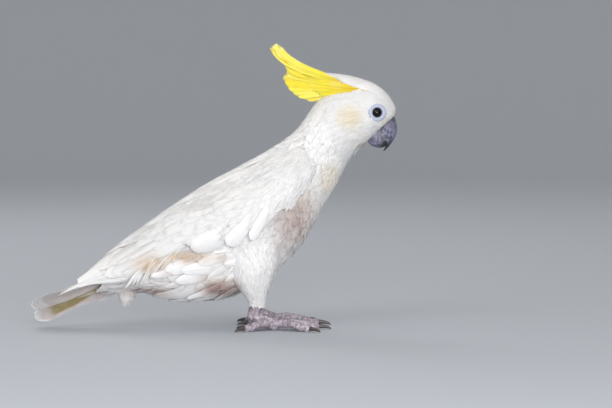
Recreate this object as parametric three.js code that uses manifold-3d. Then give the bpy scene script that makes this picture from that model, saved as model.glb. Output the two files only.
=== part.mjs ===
// A sulphur-crested cockatoo, life size, standing on level ground in profile.
//
// Millimetres, +Z up, the beak towards +X and the bird's left side towards +Y.
// The origin is on the ground under the middle of the bird's box.
//
// The body is one loft from the tail root to the face, parted into trunk, neck and head by thin
// cuts. Wings, thighs, crest, beak and tail are lofts of their own, trimmed so that they meet the
// body with a small gap and never overlap it.

import * as THREE from "three";
import { mergeVertices } from "three/addons/utils/BufferGeometryUtils.js";
import Module from "manifold-3d";

const wasm = await Module();
wasm.setup();

// ---- Driving dimensions -------------------------------------------------------------------

const GAP = 0.3; // between pieces that touch
const SLIVER = 0.08; // triangles that change a surface by less than this are merged
const BODY_STEPS = 2; // rings between two body stations
const BODY_SIDES = 18; // corners of a body ring

// The body from the tail root to the face. Each station is the cut through one plane across the
// spine: a point on the back (x, z), a point on the belly (x, z), half the width, and how far down
// from back to belly the body is widest.
const BODY = [
  { name: "tail root", back: [-108, 76], belly: [-117, 38], half: 15, widest: 0.5 },
  { name: "vent", back: [-80, 95], belly: [-74, 38], half: 26, widest: 0.5 },
  { name: "rump", back: [-48, 119], belly: [-28, 29], half: 36, widest: 0.5 },
  { name: "loin", back: [-11, 146], belly: [19, 35], half: 43, widest: 0.5 },
  { name: "mid back", back: [26, 171.5], belly: [63, 59], half: 46, widest: 0.48 },
  { name: "shoulder", back: [58, 189.5], belly: [94, 90], half: 44, widest: 0.46 },
  { name: "breast", back: [85, 208.5], belly: [113, 125], half: 38, widest: 0.48 },
  { name: "neck root", back: [99, 227], belly: [128.5, 150.5], half: 31.5, widest: 0.5 },
  { name: "mid neck", back: [108.5, 240], belly: [140, 173.5], half: 28.5, widest: 0.5 },
  { name: "nape", back: [121, 249], belly: [148.5, 187], half: 27, widest: 0.5 },
  { name: "cheek", back: [137, 256], belly: [156, 193.5], half: 26.5, widest: 0.5 },
  { name: "crown", back: [155, 260], belly: [160, 196.5], half: 26, widest: 0.5 },
  { name: "eye", back: [171, 257.5], belly: [163.5, 199], half: 24.5, widest: 0.5 },
  { name: "brow", back: [184, 247.5], belly: [167, 202], half: 20.5, widest: 0.52 },
  { name: "forehead", back: [191.5, 234], belly: [170, 205], half: 15, widest: 0.55 },
  { name: "face", back: [191, 224.5], belly: [174, 210], half: 9, widest: 0.5 },
];
const NECK_CUT = 6.6; // station at which the trunk ends and the neck begins
const HEAD_CUT = 8.8; // station at which the neck ends and the head begins

// One wing, folded, from the bend to the tip of the longest primary. Each station is a curve over
// the wing: its upper edge (x, z) and lower edge (x, z), how far each of them and the fullest point
// between them stand out from the bird's midplane, and the wing's thickness.
const WING = [
  { upper: [101, 191], lower: [111, 173], out: [33, 38, 35], thick: 4 },
  { upper: [87, 198], lower: [98, 149], out: [24, 45, 40], thick: 7 },
  { upper: [60, 188], lower: [75, 121], out: [13, 49, 45], thick: 7 },
  { upper: [29, 173], lower: [43, 96], out: [5, 49, 46], thick: 7 },
  { upper: [-10, 152], lower: [10, 86], out: [1.5, 45.5, 43], thick: 6 },
  { upper: [-46, 129], lower: [-27, 79], out: [1.5, 39, 37], thick: 5 },
  { upper: [-80, 105], lower: [-64, 62], out: [1.5, 32, 31], thick: 4 },
  { upper: [-110, 84], lower: [-97, 49], out: [1.5, 26, 25], thick: 3.2 },
  { upper: [-140, 58.5], lower: [-133, 40.5], out: [3, 22, 22.5], thick: 2.2 },
  { upper: [-168, 40], lower: [-169.5, 35.5], out: [18, 21.5, 22], thick: 1.2 },
];
const WING_STEPS = 1.5; // rings to a wing station
const WING_ROWS = 7; // corners from the upper to the lower edge
const COVERT_CUT = 3.2; // station at which the coverts end and the flight feathers begin
const FLIGHT_CUT = 0.46; // share of the height at which secondaries lie over the primaries

// A feathered thigh, for the right leg. Each station is a level ring: its centre, half its length
// along X and half its width along Y.
const THIGH = [
  { z: 95, x: 43, y: 26, along: 27, across: 15 },
  { z: 84, x: 42, y: 28, along: 27, across: 18.5 },
  { z: 66, x: 41, y: 29, along: 25, across: 19 },
  { z: 48, x: 40.5, y: 28, along: 18.5, across: 15 },
  { z: 38, x: 42.5, y: 27, along: 12.5, across: 11 },
  { z: 30, x: 44.5, y: 26, along: 9, across: 8 },
  { z: 24, x: 45, y: 25, along: 7, across: 6.4 },
];
const THIGH_STEPS = 2;
const THIGH_SIDES = 12;

// A foot: the shank runs forward and down from the heel to the palm, and four toes leave the palm,
// two forward and two back. Toe angles are from straight ahead, outwards from the bird's midplane.
const HEEL = { forward: 42, out: 25, up: 15 };
const PALM = { forward: 63, out: 26, up: 6.2 };
const SHANK = { ankle: 5.2, heel: 6.2, waist: 5.4, palm: 6.8 }; // radii
const TOES = [
  { name: "inner_front", angle: -4, length: 48, radius: 4.7, arch: 2.6, claw: 15 },
  { name: "outer_front", angle: 30, length: 44, radius: 4.7, arch: 3, claw: 15 },
  { name: "outer_back", angle: 146, length: 37, radius: 4.6, arch: 3, claw: 14 },
  { name: "inner_back", angle: 190, length: 29, radius: 4.2, arch: 2, claw: 13 },
];
const TOE_STEPS = 5;
const TOE_TAPER = 0.2;
const PAD_FROM = 0.8; // share of a toe's length at which its pad begins
const PAD_SINK = 0.88; // height of a pad's middle line, in radii
const CLAW_STEPS = 4;
const CLAW_RADIUS = 2.3;

// The tail: one fan of overlapped feathers from the root under the wing tips. It is arched across,
// and rolled about its own axis so that its right edge is raised. Its right and left half-widths
// are given at even steps from root to tip.
const TAIL = { root: [-88, 60], tip: [-191.5, 19.5], feathers: 6, arch: 4 };
const TAIL_RIGHT = [6, 9, 17, 25];
const TAIL_LEFT = [13, 22, 24, 25];
const TAIL_ROLL = { root: 20, full: 40, reached: 0.45 };
const TAIL_THICK = 2.4;
const TAIL_STEPS = 8;
const TAIL_SCALLOP = 0.02; // share of the length between a feather's tip and the notch beside it

// The crest: blades that leave the crown and curl up at their tips, longest on top. Each one has
// its root, a point that it bends towards, and its tip, as (x, z).
const CREST = [
  { root: [166, 254], bend: [87, 267], tip: [59.5, 298], half: 6.6 },
  { root: [163, 250], bend: [92, 261], tip: [67, 284], half: 6.6 },
  { root: [156, 246], bend: [100, 258], tip: [74, 268], half: 6 },
  { root: [150, 244], bend: [106, 252], tip: [79.5, 257], half: 5.6 },
  { root: [142, 242], bend: [112, 247], tip: [90, 248], half: 5 },
];
const CREST_THICK = { root: 7, tip: 1.2 }; // half the crest's thickness across the bird
const CROWN_FEATHERS = { root: [186, 243], bend: [160, 268.5], tip: [121, 271.5], half: 4.4 };
const CROWN_THICK = { root: 13, tip: 3.5 };
const CREST_SIDES = 6;

// The beak. Each station has its outer point (x, z), its inner point on the mouth's edge (x, z)
// and half its width.
const BEAK_UPPER = [
  { outer: [187, 229], inner: [170, 209], half: 8.5 },
  { outer: [191.5, 222], inner: [172.5, 209.5], half: 10.5 },
  { outer: [193.3, 213], inner: [175.5, 204.5], half: 10 },
  { outer: [192.5, 204.5], inner: [180, 199.5], half: 7.8 },
  { outer: [188.5, 197.5], inner: [182.5, 196.5], half: 4.6 },
  { outer: [183.8, 191.5], inner: [181, 192.3], half: 2.2 },
  { outer: [179.3, 187.2], inner: [178.7, 187.8], half: 0.6 },
];
const BEAK_LOWER = [
  { outer: [160.5, 203.5], inner: [169, 212], half: 8.5 },
  { outer: [162, 198], inner: [172, 207], half: 9.6 },
  { outer: [167.5, 192.8], inner: [176, 202.5], half: 9.2 },
  { outer: [175.5, 191], inner: [180.5, 198.5], half: 7.4 },
  { outer: [181, 192.6], inner: [182.6, 196.6], half: 4.6 },
];
const BEAK_STEPS = 2;
const BEAK_SIDES = 12;

const EYE = { x: 171, z: 229, out: 18.7, radius: 6, forward: 11 }; // forward: degrees that it looks ahead
const EYE_SIDES = 12;
const EYE_RING = { inner: 4.6, outer: 9.2, lift: 2.6, high: 3.2 }; // lift: from the eye's centre

// ---- Materials ----------------------------------------------------------------------------

const material = (name, color, roughness) => {
  const made = new THREE.MeshStandardMaterial({ color, roughness, metalness: 0 });
  made.name = name;
  return made;
};
const PLUMAGE = material("white_plumage", 0xf4f2ec, 0.8);
const FLIGHT = material("flight_feathers", 0xf2f1ea, 0.6);
const YELLOW = material("yellow_plumage", 0xf2d21c, 0.75);
const HORN = material("horn", 0x4a4a50, 0.45);
const SCALED = material("scaled_skin", 0x77737a, 0.7);
const CLAW = material("claw", 0x2e2d31, 0.4);
const EYEBALL = material("eyeball", 0x120c0a, 0.08);
const RING = material("eye_ring", 0xdbe6f2, 0.6);

// ---- Shape helpers ------------------------------------------------------------------------

const at = (x, y, z) => new THREE.Vector3(x, y, z);
const radians = THREE.MathUtils.degToRad;
const range = (n) => Array.from({ length: n }, (_, i) => i);

// The Catmull-Rom blend of a row of numbers at t, which counts rows.
function along(values, t) {
  const last = values.length - 1;
  const i = Math.min(Math.max(Math.floor(t), 0), last - 1);
  const f = t - i;
  const [a, b, c, d] = [i - 1, i, i + 1, i + 2].map((k) => values[Math.min(Math.max(k, 0), last)]);
  const square = 2 * a - 5 * b + 4 * c - d;
  const cube = 3 * b - a - 3 * c + d;
  return 0.5 * (2 * b + (c - a) * f + square * f ** 2 + cube * f ** 3);
}

// Evenly spaced numbers from a to b, both included.
const steps = (a, b, n) => range(n + 1).map((i) => a + ((b - a) * i) / n);

// A closed solid through rings of points that all have the same number of corners, with a fan of
// triangles over each end.
function loft(rings) {
  const sides = rings[0].length;
  const points = rings.flat();
  const faces = [];
  for (let r = 0; r + 1 < rings.length; r++)
    for (let s = 0; s < sides; s++) {
      const [a, b] = [r * sides + s, r * sides + ((s + 1) % sides)];
      faces.push(a, b, b + sides, a, b + sides, a + sides);
    }
  for (const [r, first, second] of [[0, 1, 0], [rings.length - 1, 0, 1]]) {
    const middle = rings[r].reduce((sum, p) => sum.add(p), at(0, 0, 0)).divideScalar(sides);
    const centre = points.push(middle) - 1;
    for (let s = 0; s < sides; s++) {
      const edge = [r * sides + s, r * sides + ((s + 1) % sides)];
      faces.push(centre, edge[first], edge[second]);
    }
  }
  const made = new THREE.BufferGeometry().setFromPoints(points);
  made.setIndex(faces);
  return solid(made);
}

// A manifold-3d solid of a closed geometry, turned so that its faces point out.
function solid(geometry) {
  const bare = geometry.clone();
  bare.deleteAttribute("normal");
  bare.deleteAttribute("uv");
  const merged = mergeVertices(bare, 1e-3);
  const corners = merged.index.array;
  const whole = [];
  for (let i = 0; i < corners.length; i += 3) {
    const [a, b, c] = corners.subarray(i, i + 3);
    if (a !== b && b !== c && a !== c) whole.push(a, b, c);
  }
  const p = merged.attributes.position;
  let volume = 0;
  const [u, v, w] = [at(0, 0, 0), at(0, 0, 0), at(0, 0, 0)];
  for (let i = 0; i < whole.length; i += 3) {
    u.fromBufferAttribute(p, whole[i]);
    v.fromBufferAttribute(p, whole[i + 1]);
    w.fromBufferAttribute(p, whole[i + 2]);
    volume += u.dot(v.cross(w));
  }
  if (volume < 0) whole.reverse();
  const mesh = { numProp: 3, vertProperties: new Float32Array(p.array), triVerts: new Uint32Array(whole) };
  return new wasm.Manifold(new wasm.Mesh(mesh));
}

// The named mesh of a solid. Slivers that a cut leaves are merged, and crumbs beside the main body
// are dropped.
function node(name, made, finish) {
  const body = made.simplify(SLIVER).decompose().sort((a, b) => b.volume() - a.volume())[0];
  const { vertProperties, triVerts } = body.getMesh();
  const geometry = new THREE.BufferGeometry();
  geometry.setAttribute("position", new THREE.BufferAttribute(vertProperties, 3));
  geometry.setIndex(new THREE.BufferAttribute(triVerts, 1));
  geometry.computeVertexNormals();
  const mesh = new THREE.Mesh(geometry, finish);
  mesh.name = name;
  return mesh;
}

const mirrored = (made) => made.mirror([0, 1, 0]);
const united = (solids) => solids.reduce((sum, one) => sum.add(one));

const above = (made, z) => made.trimByPlane([0, 0, 1], z);

// ---- Body ---------------------------------------------------------------------------------

// One ring of the body at station t, grown outwards by some millimetres: half an ellipse above the
// widest line and half an ellipse below it.
function bodyRing(t, grown) {
  const value = (pick) => along(BODY.map(pick), t);
  const back = at(value((s) => s.back[0]), 0, value((s) => s.back[1]));
  const belly = at(value((s) => s.belly[0]), 0, value((s) => s.belly[1]));
  const widest = value((s) => s.widest);
  const half = value((s) => s.half) + grown;
  const down = belly.clone().sub(back);
  const height = down.length();
  down.normalize();
  const centre = back.clone().addScaledVector(down, height * widest);
  return range(BODY_SIDES).map((i) => {
    const turn = (2 * Math.PI * i) / BODY_SIDES;
    const reach = Math.cos(turn) > 0 ? height * widest + grown : height * (1 - widest) + grown;
    const point = centre.clone().addScaledVector(down, -reach * Math.cos(turn));
    point.y = half * Math.sin(turn);
    return point;
  });
}

function bodyLength(from, to, grown = 0) {
  const count = Math.max(1, Math.round((to - from) * BODY_STEPS));
  return loft(steps(from, to, count).map((t) => bodyRing(t, grown)));
}

// ---- Wing ---------------------------------------------------------------------------------

// One ring of the right wing at station t: out over the wing from its upper edge to its lower
// edge, and back along the inside.
function wingRing(t) {
  const value = (pick) => along(WING.map(pick), t);
  const upper = at(value((s) => s.upper[0]), -value((s) => s.out[0]), value((s) => s.upper[1]));
  const lower = at(value((s) => s.lower[0]), -value((s) => s.out[2]), value((s) => s.lower[1]));
  const fullest = -value((s) => s.out[1]);
  const thick = value((s) => s.thick);
  const bend = upper.clone().add(lower).multiplyScalar(0.5);
  bend.y = (4 * fullest - upper.y - lower.y) / 2;
  const curve = new THREE.QuadraticBezierCurve3(upper, bend, lower);
  const outside = steps(0, 1, WING_ROWS - 1).map((v) => curve.getPoint(v));
  const inside = steps(1, 0, WING_ROWS - 1).map((v) => {
    const inward = thick * (0.35 + 0.65 * Math.sin(Math.PI * v));
    return curve.getPoint(v).add(at(0, inward, -0.25 * inward * (1 - v)));
  });
  return [...outside, ...inside];
}

function wingLength(from, to) {
  const count = Math.max(2, Math.round((to - from) * WING_STEPS));
  return loft(steps(from, to, count).map(wingRing));
}

// The side-view strip between two shares of the wing's height, from station `from` to the tip,
// as a prism right through the bird.
function wingStrip(from, low, high) {
  const last = WING.length - 1;
  const corner = (t, share) => {
    const [ux, uz, lx, lz] = [
      along(WING.map((s) => s.upper[0]), t),
      along(WING.map((s) => s.upper[1]), t),
      along(WING.map((s) => s.lower[0]), t),
      along(WING.map((s) => s.lower[1]), t),
    ];
    return new THREE.Vector2(ux + (lx - ux) * share, uz + (lz - uz) * share);
  };
  const outline = [
    ...steps(from, last, 12).map((t) => corner(t, low)),
    ...steps(last, from, 12).map((t) => corner(t, high)),
  ];
  const depth = 120;
  const prism = new THREE.ExtrudeGeometry(new THREE.Shape(outline), { depth, bevelEnabled: false });
  prism.rotateX(Math.PI / 2); // the outline's second axis becomes Z
  prism.translate(0, depth / 2, 0);
  return solid(prism);
}

// ---- Leg ----------------------------------------------------------------------------------

function thigh(grown = 0) {
  const last = THIGH.length - 1;
  const rings = steps(0, last, last * THIGH_STEPS).map((t) => {
    const value = (key) => along(THIGH.map((s) => s[key]), t);
    return range(THIGH_SIDES).map((i) => {
      const turn = (2 * Math.PI * i) / THIGH_SIDES;
      const x = value("x") + (value("along") + grown) * Math.cos(turn);
      const y = -value("y") + (value("across") + grown) * Math.sin(turn);
      return at(x, y, value("z") - grown);
    });
  });
  return loft(rings);
}

// A round tube through centre points, with a radius at each.
function tube(centres, radii, sides = 8) {
  const rings = centres.map((centre, i) => {
    const ahead = centres[Math.min(i + 1, centres.length - 1)];
    const behind = centres[Math.max(i - 1, 0)];
    const way = ahead.clone().sub(behind).normalize();
    const side = at(-way.y, way.x, 0);
    if (side.lengthSq() < 1e-9) side.set(0, 1, 0);
    side.normalize();
    const rise = way.clone().cross(side);
    return range(sides).map((k) => {
      const turn = (2 * Math.PI * (k + 0.5)) / sides;
      return centre
        .clone()
        .addScaledVector(side, radii[i] * Math.cos(turn))
        .addScaledVector(rise, radii[i] * Math.sin(turn));
    });
  });
  return loft(rings);
}

const palm = () => at(PALM.forward, -PALM.out, PALM.up);
const toeWay = (toe) => at(Math.cos(radians(toe.angle)), -Math.sin(radians(toe.angle)), 0);

const toeRadius = (toe, f) => toe.radius * (1 - TOE_TAPER * f);

// The middle line of a toe: it leaves the palm, arches over its joints and comes down to its pad,
// which is sunk a little, so that the floor cuts a flat on it.
function toeLine(toe, f) {
  const low = PAD_SINK * toeRadius(toe, f);
  const drop = (PALM.up - low) * (1 - f) ** 1.6;
  const rise = toe.arch * Math.sin(Math.PI * Math.min(1, f / PAD_FROM));
  return palm()
    .addScaledVector(toeWay(toe), toe.length * f)
    .setZ(low + drop + rise);
}

function toeTube(toe) {
  const shares = steps(0, 1, TOE_STEPS);
  return tube(shares.map((f) => toeLine(toe, f)), shares.map((f) => toeRadius(toe, f)));
}

// A claw leaves the toe's end level, then bends down to the ground over a quarter of a circle.
function claw(toe) {
  const way = toeWay(toe);
  const start = toeLine(toe, 1).addScaledVector(way, 2.5 * GAP).add(at(0, 0, 0.5));
  const fall = start.z - 0.2;
  const shares = steps(0, 1, CLAW_STEPS);
  const centres = shares.map((f) => {
    const turn = (Math.PI / 2) * f;
    const reach = toe.claw * 0.8 * Math.sin(turn);
    return start.clone().addScaledVector(way, reach).add(at(0, 0, -fall * (1 - Math.cos(turn))));
  });
  return above(tube(centres, shares.map((f) => CLAW_RADIUS * (1 - 0.86 * f)), 6), 0);
}

function foot() {
  const heel = at(HEEL.forward, -HEEL.out, HEEL.up);
  const ankle = at(THIGH.at(-1).x, -THIGH.at(-1).y, THIGH.at(-1).z - GAP);
  const middle = heel.clone().lerp(palm(), 0.5).add(at(0, 0, 1));
  const line = [ankle, heel.clone().lerp(ankle, 0.5).add(at(-0.6, 0, 0)), heel, middle, palm()];
  const radii = [SHANK.ankle, SHANK.ankle, SHANK.heel, SHANK.waist, SHANK.palm];
  const shank = tube(line, radii);
  const ball = (centre, radius) => solid(new THREE.SphereGeometry(radius, 8, 5).translate(...centre));
  const joints = [ball(heel, SHANK.heel), ball(palm(), SHANK.palm)];
  return above(united([shank, ...joints, ...TOES.map(toeTube)]), 0);
}

// ---- Tail and crest -----------------------------------------------------------------------

const roundEnd = (f) => Math.sqrt(Math.max(0.02, 1 - Math.max(0, (f - 0.9) / 0.1) ** 2));

// Each row of the tail runs over its upper face from the right edge to the left, and back below.
function tail() {
  const root = at(TAIL.root[0], 0, TAIL.root[1]);
  const tip = at(TAIL.tip[0], 0, TAIL.tip[1]);
  const axis = tip.clone().sub(root).normalize();
  const columns = TAIL.feathers * 2;
  const point = (f, u, depth) => {
    const notch = TAIL_SCALLOP * Math.sin((Math.PI * TAIL.feathers * (u + 1)) / 2) ** 2;
    const turned = Math.sin((Math.PI / 2) * Math.min(1, f / TAIL_ROLL.reached));
    const roll = radians(THREE.MathUtils.lerp(TAIL_ROLL.root, TAIL_ROLL.full, turned));
    const side = at(0, 1, 0).applyAxisAngle(axis, roll);
    const up = at(0, 1, 0).cross(axis).applyAxisAngle(axis, roll);
    const half = along(u < 0 ? TAIL_RIGHT : TAIL_LEFT, 3 * f);
    return root
      .clone()
      .lerp(tip, f * (1 - 0.035 * u ** 2 - notch))
      .addScaledVector(side, u * half)
      .addScaledVector(up, -TAIL.arch * u ** 2 * f - depth * (1 - 0.5 * u ** 2));
  };
  const across = steps(-1, 1, columns);
  const rings = steps(0, 1, TAIL_STEPS).map((f) => [
    ...across.map((u) => point(f, u, -TAIL_THICK / 2)),
    ...across.toReversed().map((u) => point(f, u, TAIL_THICK / 2)),
  ]);
  return loft(rings);
}

// A crest blade lies in the bird's midplane, with its width in that plane.
function crestBlade({ root, bend, tip, half }, rootThick, tipThick, grown = 0) {
  const [a, b, c] = [root, bend, tip].map(([x, z]) => at(x, 0, z));
  const curve = new THREE.QuadraticBezierCurve3(a, b, c);
  const wide = (f) => half * Math.min(1, 0.45 + 1.4 * f) * roundEnd(f) + grown;
  const thick = (f) => rootThick + (tipThick - rootThick) * Math.min(1, 1.3 * f) + grown;
  const side = (f) => curve.getTangent(f).cross(at(0, 1, 0)).normalize();
  const rings = steps(0, 1, CREST_SIDES).map((f) =>
    range(CREST_SIDES).map((k) => {
      const turn = (2 * Math.PI * k) / CREST_SIDES;
      return curve
        .getPoint(f)
        .addScaledVector(side(f), wide(f) * Math.cos(turn))
        .add(at(0, thick(f) * Math.sin(turn), 0));
    }),
  );
  return loft(rings);
}

// ---- Beak and eyes ------------------------------------------------------------------------

// Half of the beak: rings of an oval between the outer and the inner point of each station.
function beakHalf(stations, grown = 0) {
  const last = stations.length - 1;
  const rings = steps(0, last, last * BEAK_STEPS).map((t) => {
    const value = (pick) => along(stations.map(pick), t);
    const outer = at(value((s) => s.outer[0]), 0, value((s) => s.outer[1]));
    const inner = at(value((s) => s.inner[0]), 0, value((s) => s.inner[1]));
    const centre = outer.clone().lerp(inner, 0.5);
    const reach = outer.clone().sub(centre);
    const half = Math.max(0.3, value((s) => s.half)) + grown;
    const stretch = 1 + grown / Math.max(0.5, reach.length());
    return range(BEAK_SIDES).map((i) => {
      const turn = (2 * Math.PI * i) / BEAK_SIDES;
      const point = centre.clone().addScaledVector(reach, stretch * Math.cos(turn));
      point.y = half * Math.sin(turn);
      return point;
    });
  });
  return loft(rings);
}

// The right eye's own frame: its centre, and its axis along +Z turned to look out of the head.
const inEye = (geometry) =>
  geometry
    .rotateX(Math.PI / 2)
    .rotateZ(radians(EYE.forward))
    .translate(EYE.x, -EYE.out, EYE.z);

const eyeball = (grown) => solid(inEye(new THREE.SphereGeometry(EYE.radius + grown, EYE_SIDES, 7)));

// The bare ring round the eye: a low rounded collar, turned about the eye's axis.
function eyeRing() {
  const middle = (EYE_RING.inner + EYE_RING.outer) / 2;
  const across = (EYE_RING.outer - EYE_RING.inner) / 2;
  const profile = steps(0, 1, 6).map((f) => {
    const turn = 2 * Math.PI * f;
    const up = EYE_RING.lift + (EYE_RING.high / 2) * Math.sin(turn);
    return new THREE.Vector2(middle + across * Math.cos(turn), up);
  });
  const collar = new THREE.LatheGeometry(profile, EYE_SIDES).rotateX(Math.PI / 2);
  return solid(inEye(collar)).subtract(eyeball(GAP));
}

// The socket that the ring and the eye sit in, open to the outside.
function socket() {
  const floor = EYE_RING.lift - EYE_RING.high / 2 - GAP;
  const depth = 20;
  const radius = EYE_RING.outer + GAP;
  const well = new THREE.CylinderGeometry(radius, radius, depth, EYE_SIDES);
  well.translate(0, floor + depth / 2, 0).rotateX(Math.PI / 2);
  return solid(inEye(well)).add(eyeball(GAP));
}

// ---- Assembly -----------------------------------------------------------------------------

const FACE = BODY.length - 1;
const CUT = 0.012; // half the gap at a cut, in stations
const WING_TIP = WING.length - 1;
const wholeBody = bodyLength(0, FACE, GAP);
const bothSides = (made) => united([made, mirrored(made)]);

const beakUpper = beakHalf(BEAK_UPPER);
const beakLower = beakHalf(BEAK_LOWER).subtract(beakHalf(BEAK_UPPER, GAP));
const faceRoom = united([beakHalf(BEAK_UPPER, GAP), beakHalf(BEAK_LOWER, GAP), bothSides(socket())]);

const crownFeathers = crestBlade(CROWN_FEATHERS, CROWN_THICK.root, CROWN_THICK.tip);
const crownRoom = crestBlade(CROWN_FEATHERS, CROWN_THICK.root, CROWN_THICK.tip, GAP);
const crest = united(CREST.map((one) => crestBlade(one, CREST_THICK.root, CREST_THICK.tip)));


// The wing's coverts, its secondaries and its primaries, trimmed to lie against the body.
const trimmed = (made) => made.subtract(wholeBody).trimByPlane([0, -1, 0], GAP);
const flight = trimmed(wingLength(COVERT_CUT + CUT, WING_TIP));
const coverts = trimmed(wingLength(0, COVERT_CUT - CUT));

// What the right wing takes up, with a gap below it and on its inner side.
const wholeWing = flight.add(coverts);
const gaps = [[0, 0, 0], [0, 2 * GAP, 0], [0, 0, -2 * GAP]];
const wingRoom = united(gaps.map((way) => wholeWing.translate(way)));

const WING_PIECES = {
  coverts,
  secondaries: flight.intersect(wingStrip(COVERT_CUT - 1, -0.5, FLIGHT_CUT - CUT)),
  primaries: flight.subtract(wingStrip(COVERT_CUT - 1, -0.5, FLIGHT_CUT + CUT)),
};

const cockatoo = new THREE.Group();
const add = (name, made, finish) => cockatoo.add(node(name, made, finish));

// Adds the right piece and its mirror image.
function addPair(name, made, finish) {
  add(`${name}_right`, made, finish);
  add(`${name}_left`, mirrored(made), finish);
}

add("head", bodyLength(HEAD_CUT + CUT, FACE).subtract(faceRoom), PLUMAGE);
add("neck", bodyLength(NECK_CUT + CUT, HEAD_CUT - CUT), PLUMAGE);
add("trunk", bodyLength(0, NECK_CUT - CUT), PLUMAGE);
add("tail", tail().subtract(wholeBody).subtract(bothSides(wingRoom)), FLIGHT);
add("crown_feathers", crownFeathers.subtract(wholeBody), PLUMAGE);
add("crest", crest.subtract(wholeBody).subtract(crownRoom), YELLOW);
add("beak_upper", beakUpper, HORN);
add("beak_lower", beakLower, HORN);
addPair("eye", eyeball(0), EYEBALL);
addPair("eye_ring", eyeRing(), RING);
addPair("wing_coverts", WING_PIECES.coverts, PLUMAGE);
addPair("wing_secondaries", WING_PIECES.secondaries, FLIGHT);
addPair("wing_primaries", WING_PIECES.primaries, FLIGHT);
addPair("thigh", thigh().subtract(wholeBody).subtract(wingRoom), PLUMAGE);
addPair("foot", foot().subtract(thigh(GAP)), SCALED);
for (const toe of TOES) addPair(`claw_${toe.name}`, claw(toe), CLAW);

// The group stands with the middle of its box over the origin.
const box = new THREE.Box3().setFromObject(cockatoo);
cockatoo.position.set(-(box.min.x + box.max.x) / 2, -(box.min.y + box.max.y) / 2, -box.min.z);

export default cockatoo;
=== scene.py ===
"""A life-size sulphur-crested cockatoo: skin, feathers, wings, tail, crest, beak, eyes and feet.

Every shape is a function of two parameters worked out in whole arrays. Lengths are millimetres in
the bird's own frame until a mesh is made: +X is ahead, +Y the bird's left, +Z up, ground at 0.
"""

import math

import bpy
import numpy as np
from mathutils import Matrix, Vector


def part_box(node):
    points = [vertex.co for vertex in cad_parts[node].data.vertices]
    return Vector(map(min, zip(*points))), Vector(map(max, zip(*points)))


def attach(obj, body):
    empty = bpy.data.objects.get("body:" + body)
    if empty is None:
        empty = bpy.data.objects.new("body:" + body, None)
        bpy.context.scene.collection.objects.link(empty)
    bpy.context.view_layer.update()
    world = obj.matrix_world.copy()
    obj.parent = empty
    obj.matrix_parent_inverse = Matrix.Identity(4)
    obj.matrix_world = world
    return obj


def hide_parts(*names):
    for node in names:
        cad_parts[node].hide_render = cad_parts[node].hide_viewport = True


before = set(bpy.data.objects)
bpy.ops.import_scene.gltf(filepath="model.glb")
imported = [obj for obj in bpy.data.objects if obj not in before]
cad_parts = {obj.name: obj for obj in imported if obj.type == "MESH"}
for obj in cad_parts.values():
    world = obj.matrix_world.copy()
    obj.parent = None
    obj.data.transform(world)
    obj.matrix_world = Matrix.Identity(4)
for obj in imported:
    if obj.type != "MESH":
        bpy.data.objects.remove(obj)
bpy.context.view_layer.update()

bl_info = {
    "name": "Sulphur-crested cockatoo",
    "version": (1, 0, 0),
    "blender": (4, 5, 0),
    "location": "3D View > Sidebar > Cockatoo",
    "description": "Feathers, skin, beak, eyes and feet of a standing cockatoo",
    "category": "Add Mesh",
}

MM = 0.001
SEED = 20
TWO_PI = 2.0 * math.pi
STEP = 2e-3  # in a surface's own parameters, to measure slopes over
SPACING = 1.15  # between neighbouring feathers of a row, in their half-widths

# ---- Where things are ---------------------------------------------------------------------------

# The body from the tail root to the face: a point on the back (x, z), one on the belly (x, z), half
# the width, and the share of the way down at which it is widest.
BODY = np.array([
    (-108, 76, -117, 38, 15, 0.5),  # tail root
    (-80, 95, -74, 38, 26, 0.5),  # vent
    (-48, 119, -28, 29, 36, 0.5),  # rump
    (-11, 146, 19, 35, 43, 0.5),  # loin
    (26, 171.5, 63, 59, 46, 0.48),  # mid back
    (58, 189.5, 94, 90, 44, 0.46),  # shoulder
    (85, 208.5, 113, 125, 38, 0.48),  # breast
    (99, 227, 128.5, 150.5, 31.5, 0.5),  # neck root
    (108.5, 240, 140, 173.5, 28.5, 0.5),  # mid neck
    (121, 249, 148.5, 187, 27, 0.5),  # nape
    (137, 256, 156, 193.5, 26.5, 0.5),  # cheek
    (155, 260, 160, 196.5, 26, 0.5),  # crown
    (171, 257.5, 163.5, 199, 24.5, 0.5),  # eye
    (184, 247.5, 167, 202, 20.5, 0.52),  # brow
    (191.5, 234, 170, 205, 15, 0.55),  # forehead
    (191, 224.5, 174, 210, 9, 0.5),  # face
])
FACE = len(BODY) - 1.0
HEAD_START = 8.5  # the station from which the coat's feathers are the head's

# The folded right wing from the bend to the tip: its upper edge (x, z), its lower edge (x, z), and
# how far the upper edge, the fullest line and the lower edge stand out from the midplane.
WING = np.array([
    (101, 191, 111, 173, 33, 38, 35),
    (87, 198, 98, 149, 24, 45, 40),
    (60, 188, 75, 121, 13, 49, 45),
    (29, 173, 43, 96, 5, 49, 46),
    (-10, 152, 10, 86, 1.5, 45.5, 43),
    (-46, 129, -27, 79, 1.5, 39, 37),
    (-80, 105, -64, 62, 1.5, 32, 31),
    (-110, 84, -97, 49, 1.5, 26, 25),
    (-140, 58.5, -133, 45, 3, 22, 22.5),
    (-168, 38, -170.5, 32.5, 18, 21.5, 22),
])

WING_THICK = np.array([4, 7, 7, 7, 6, 5, 4, 3.2, 2.2, 1.2])

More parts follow.
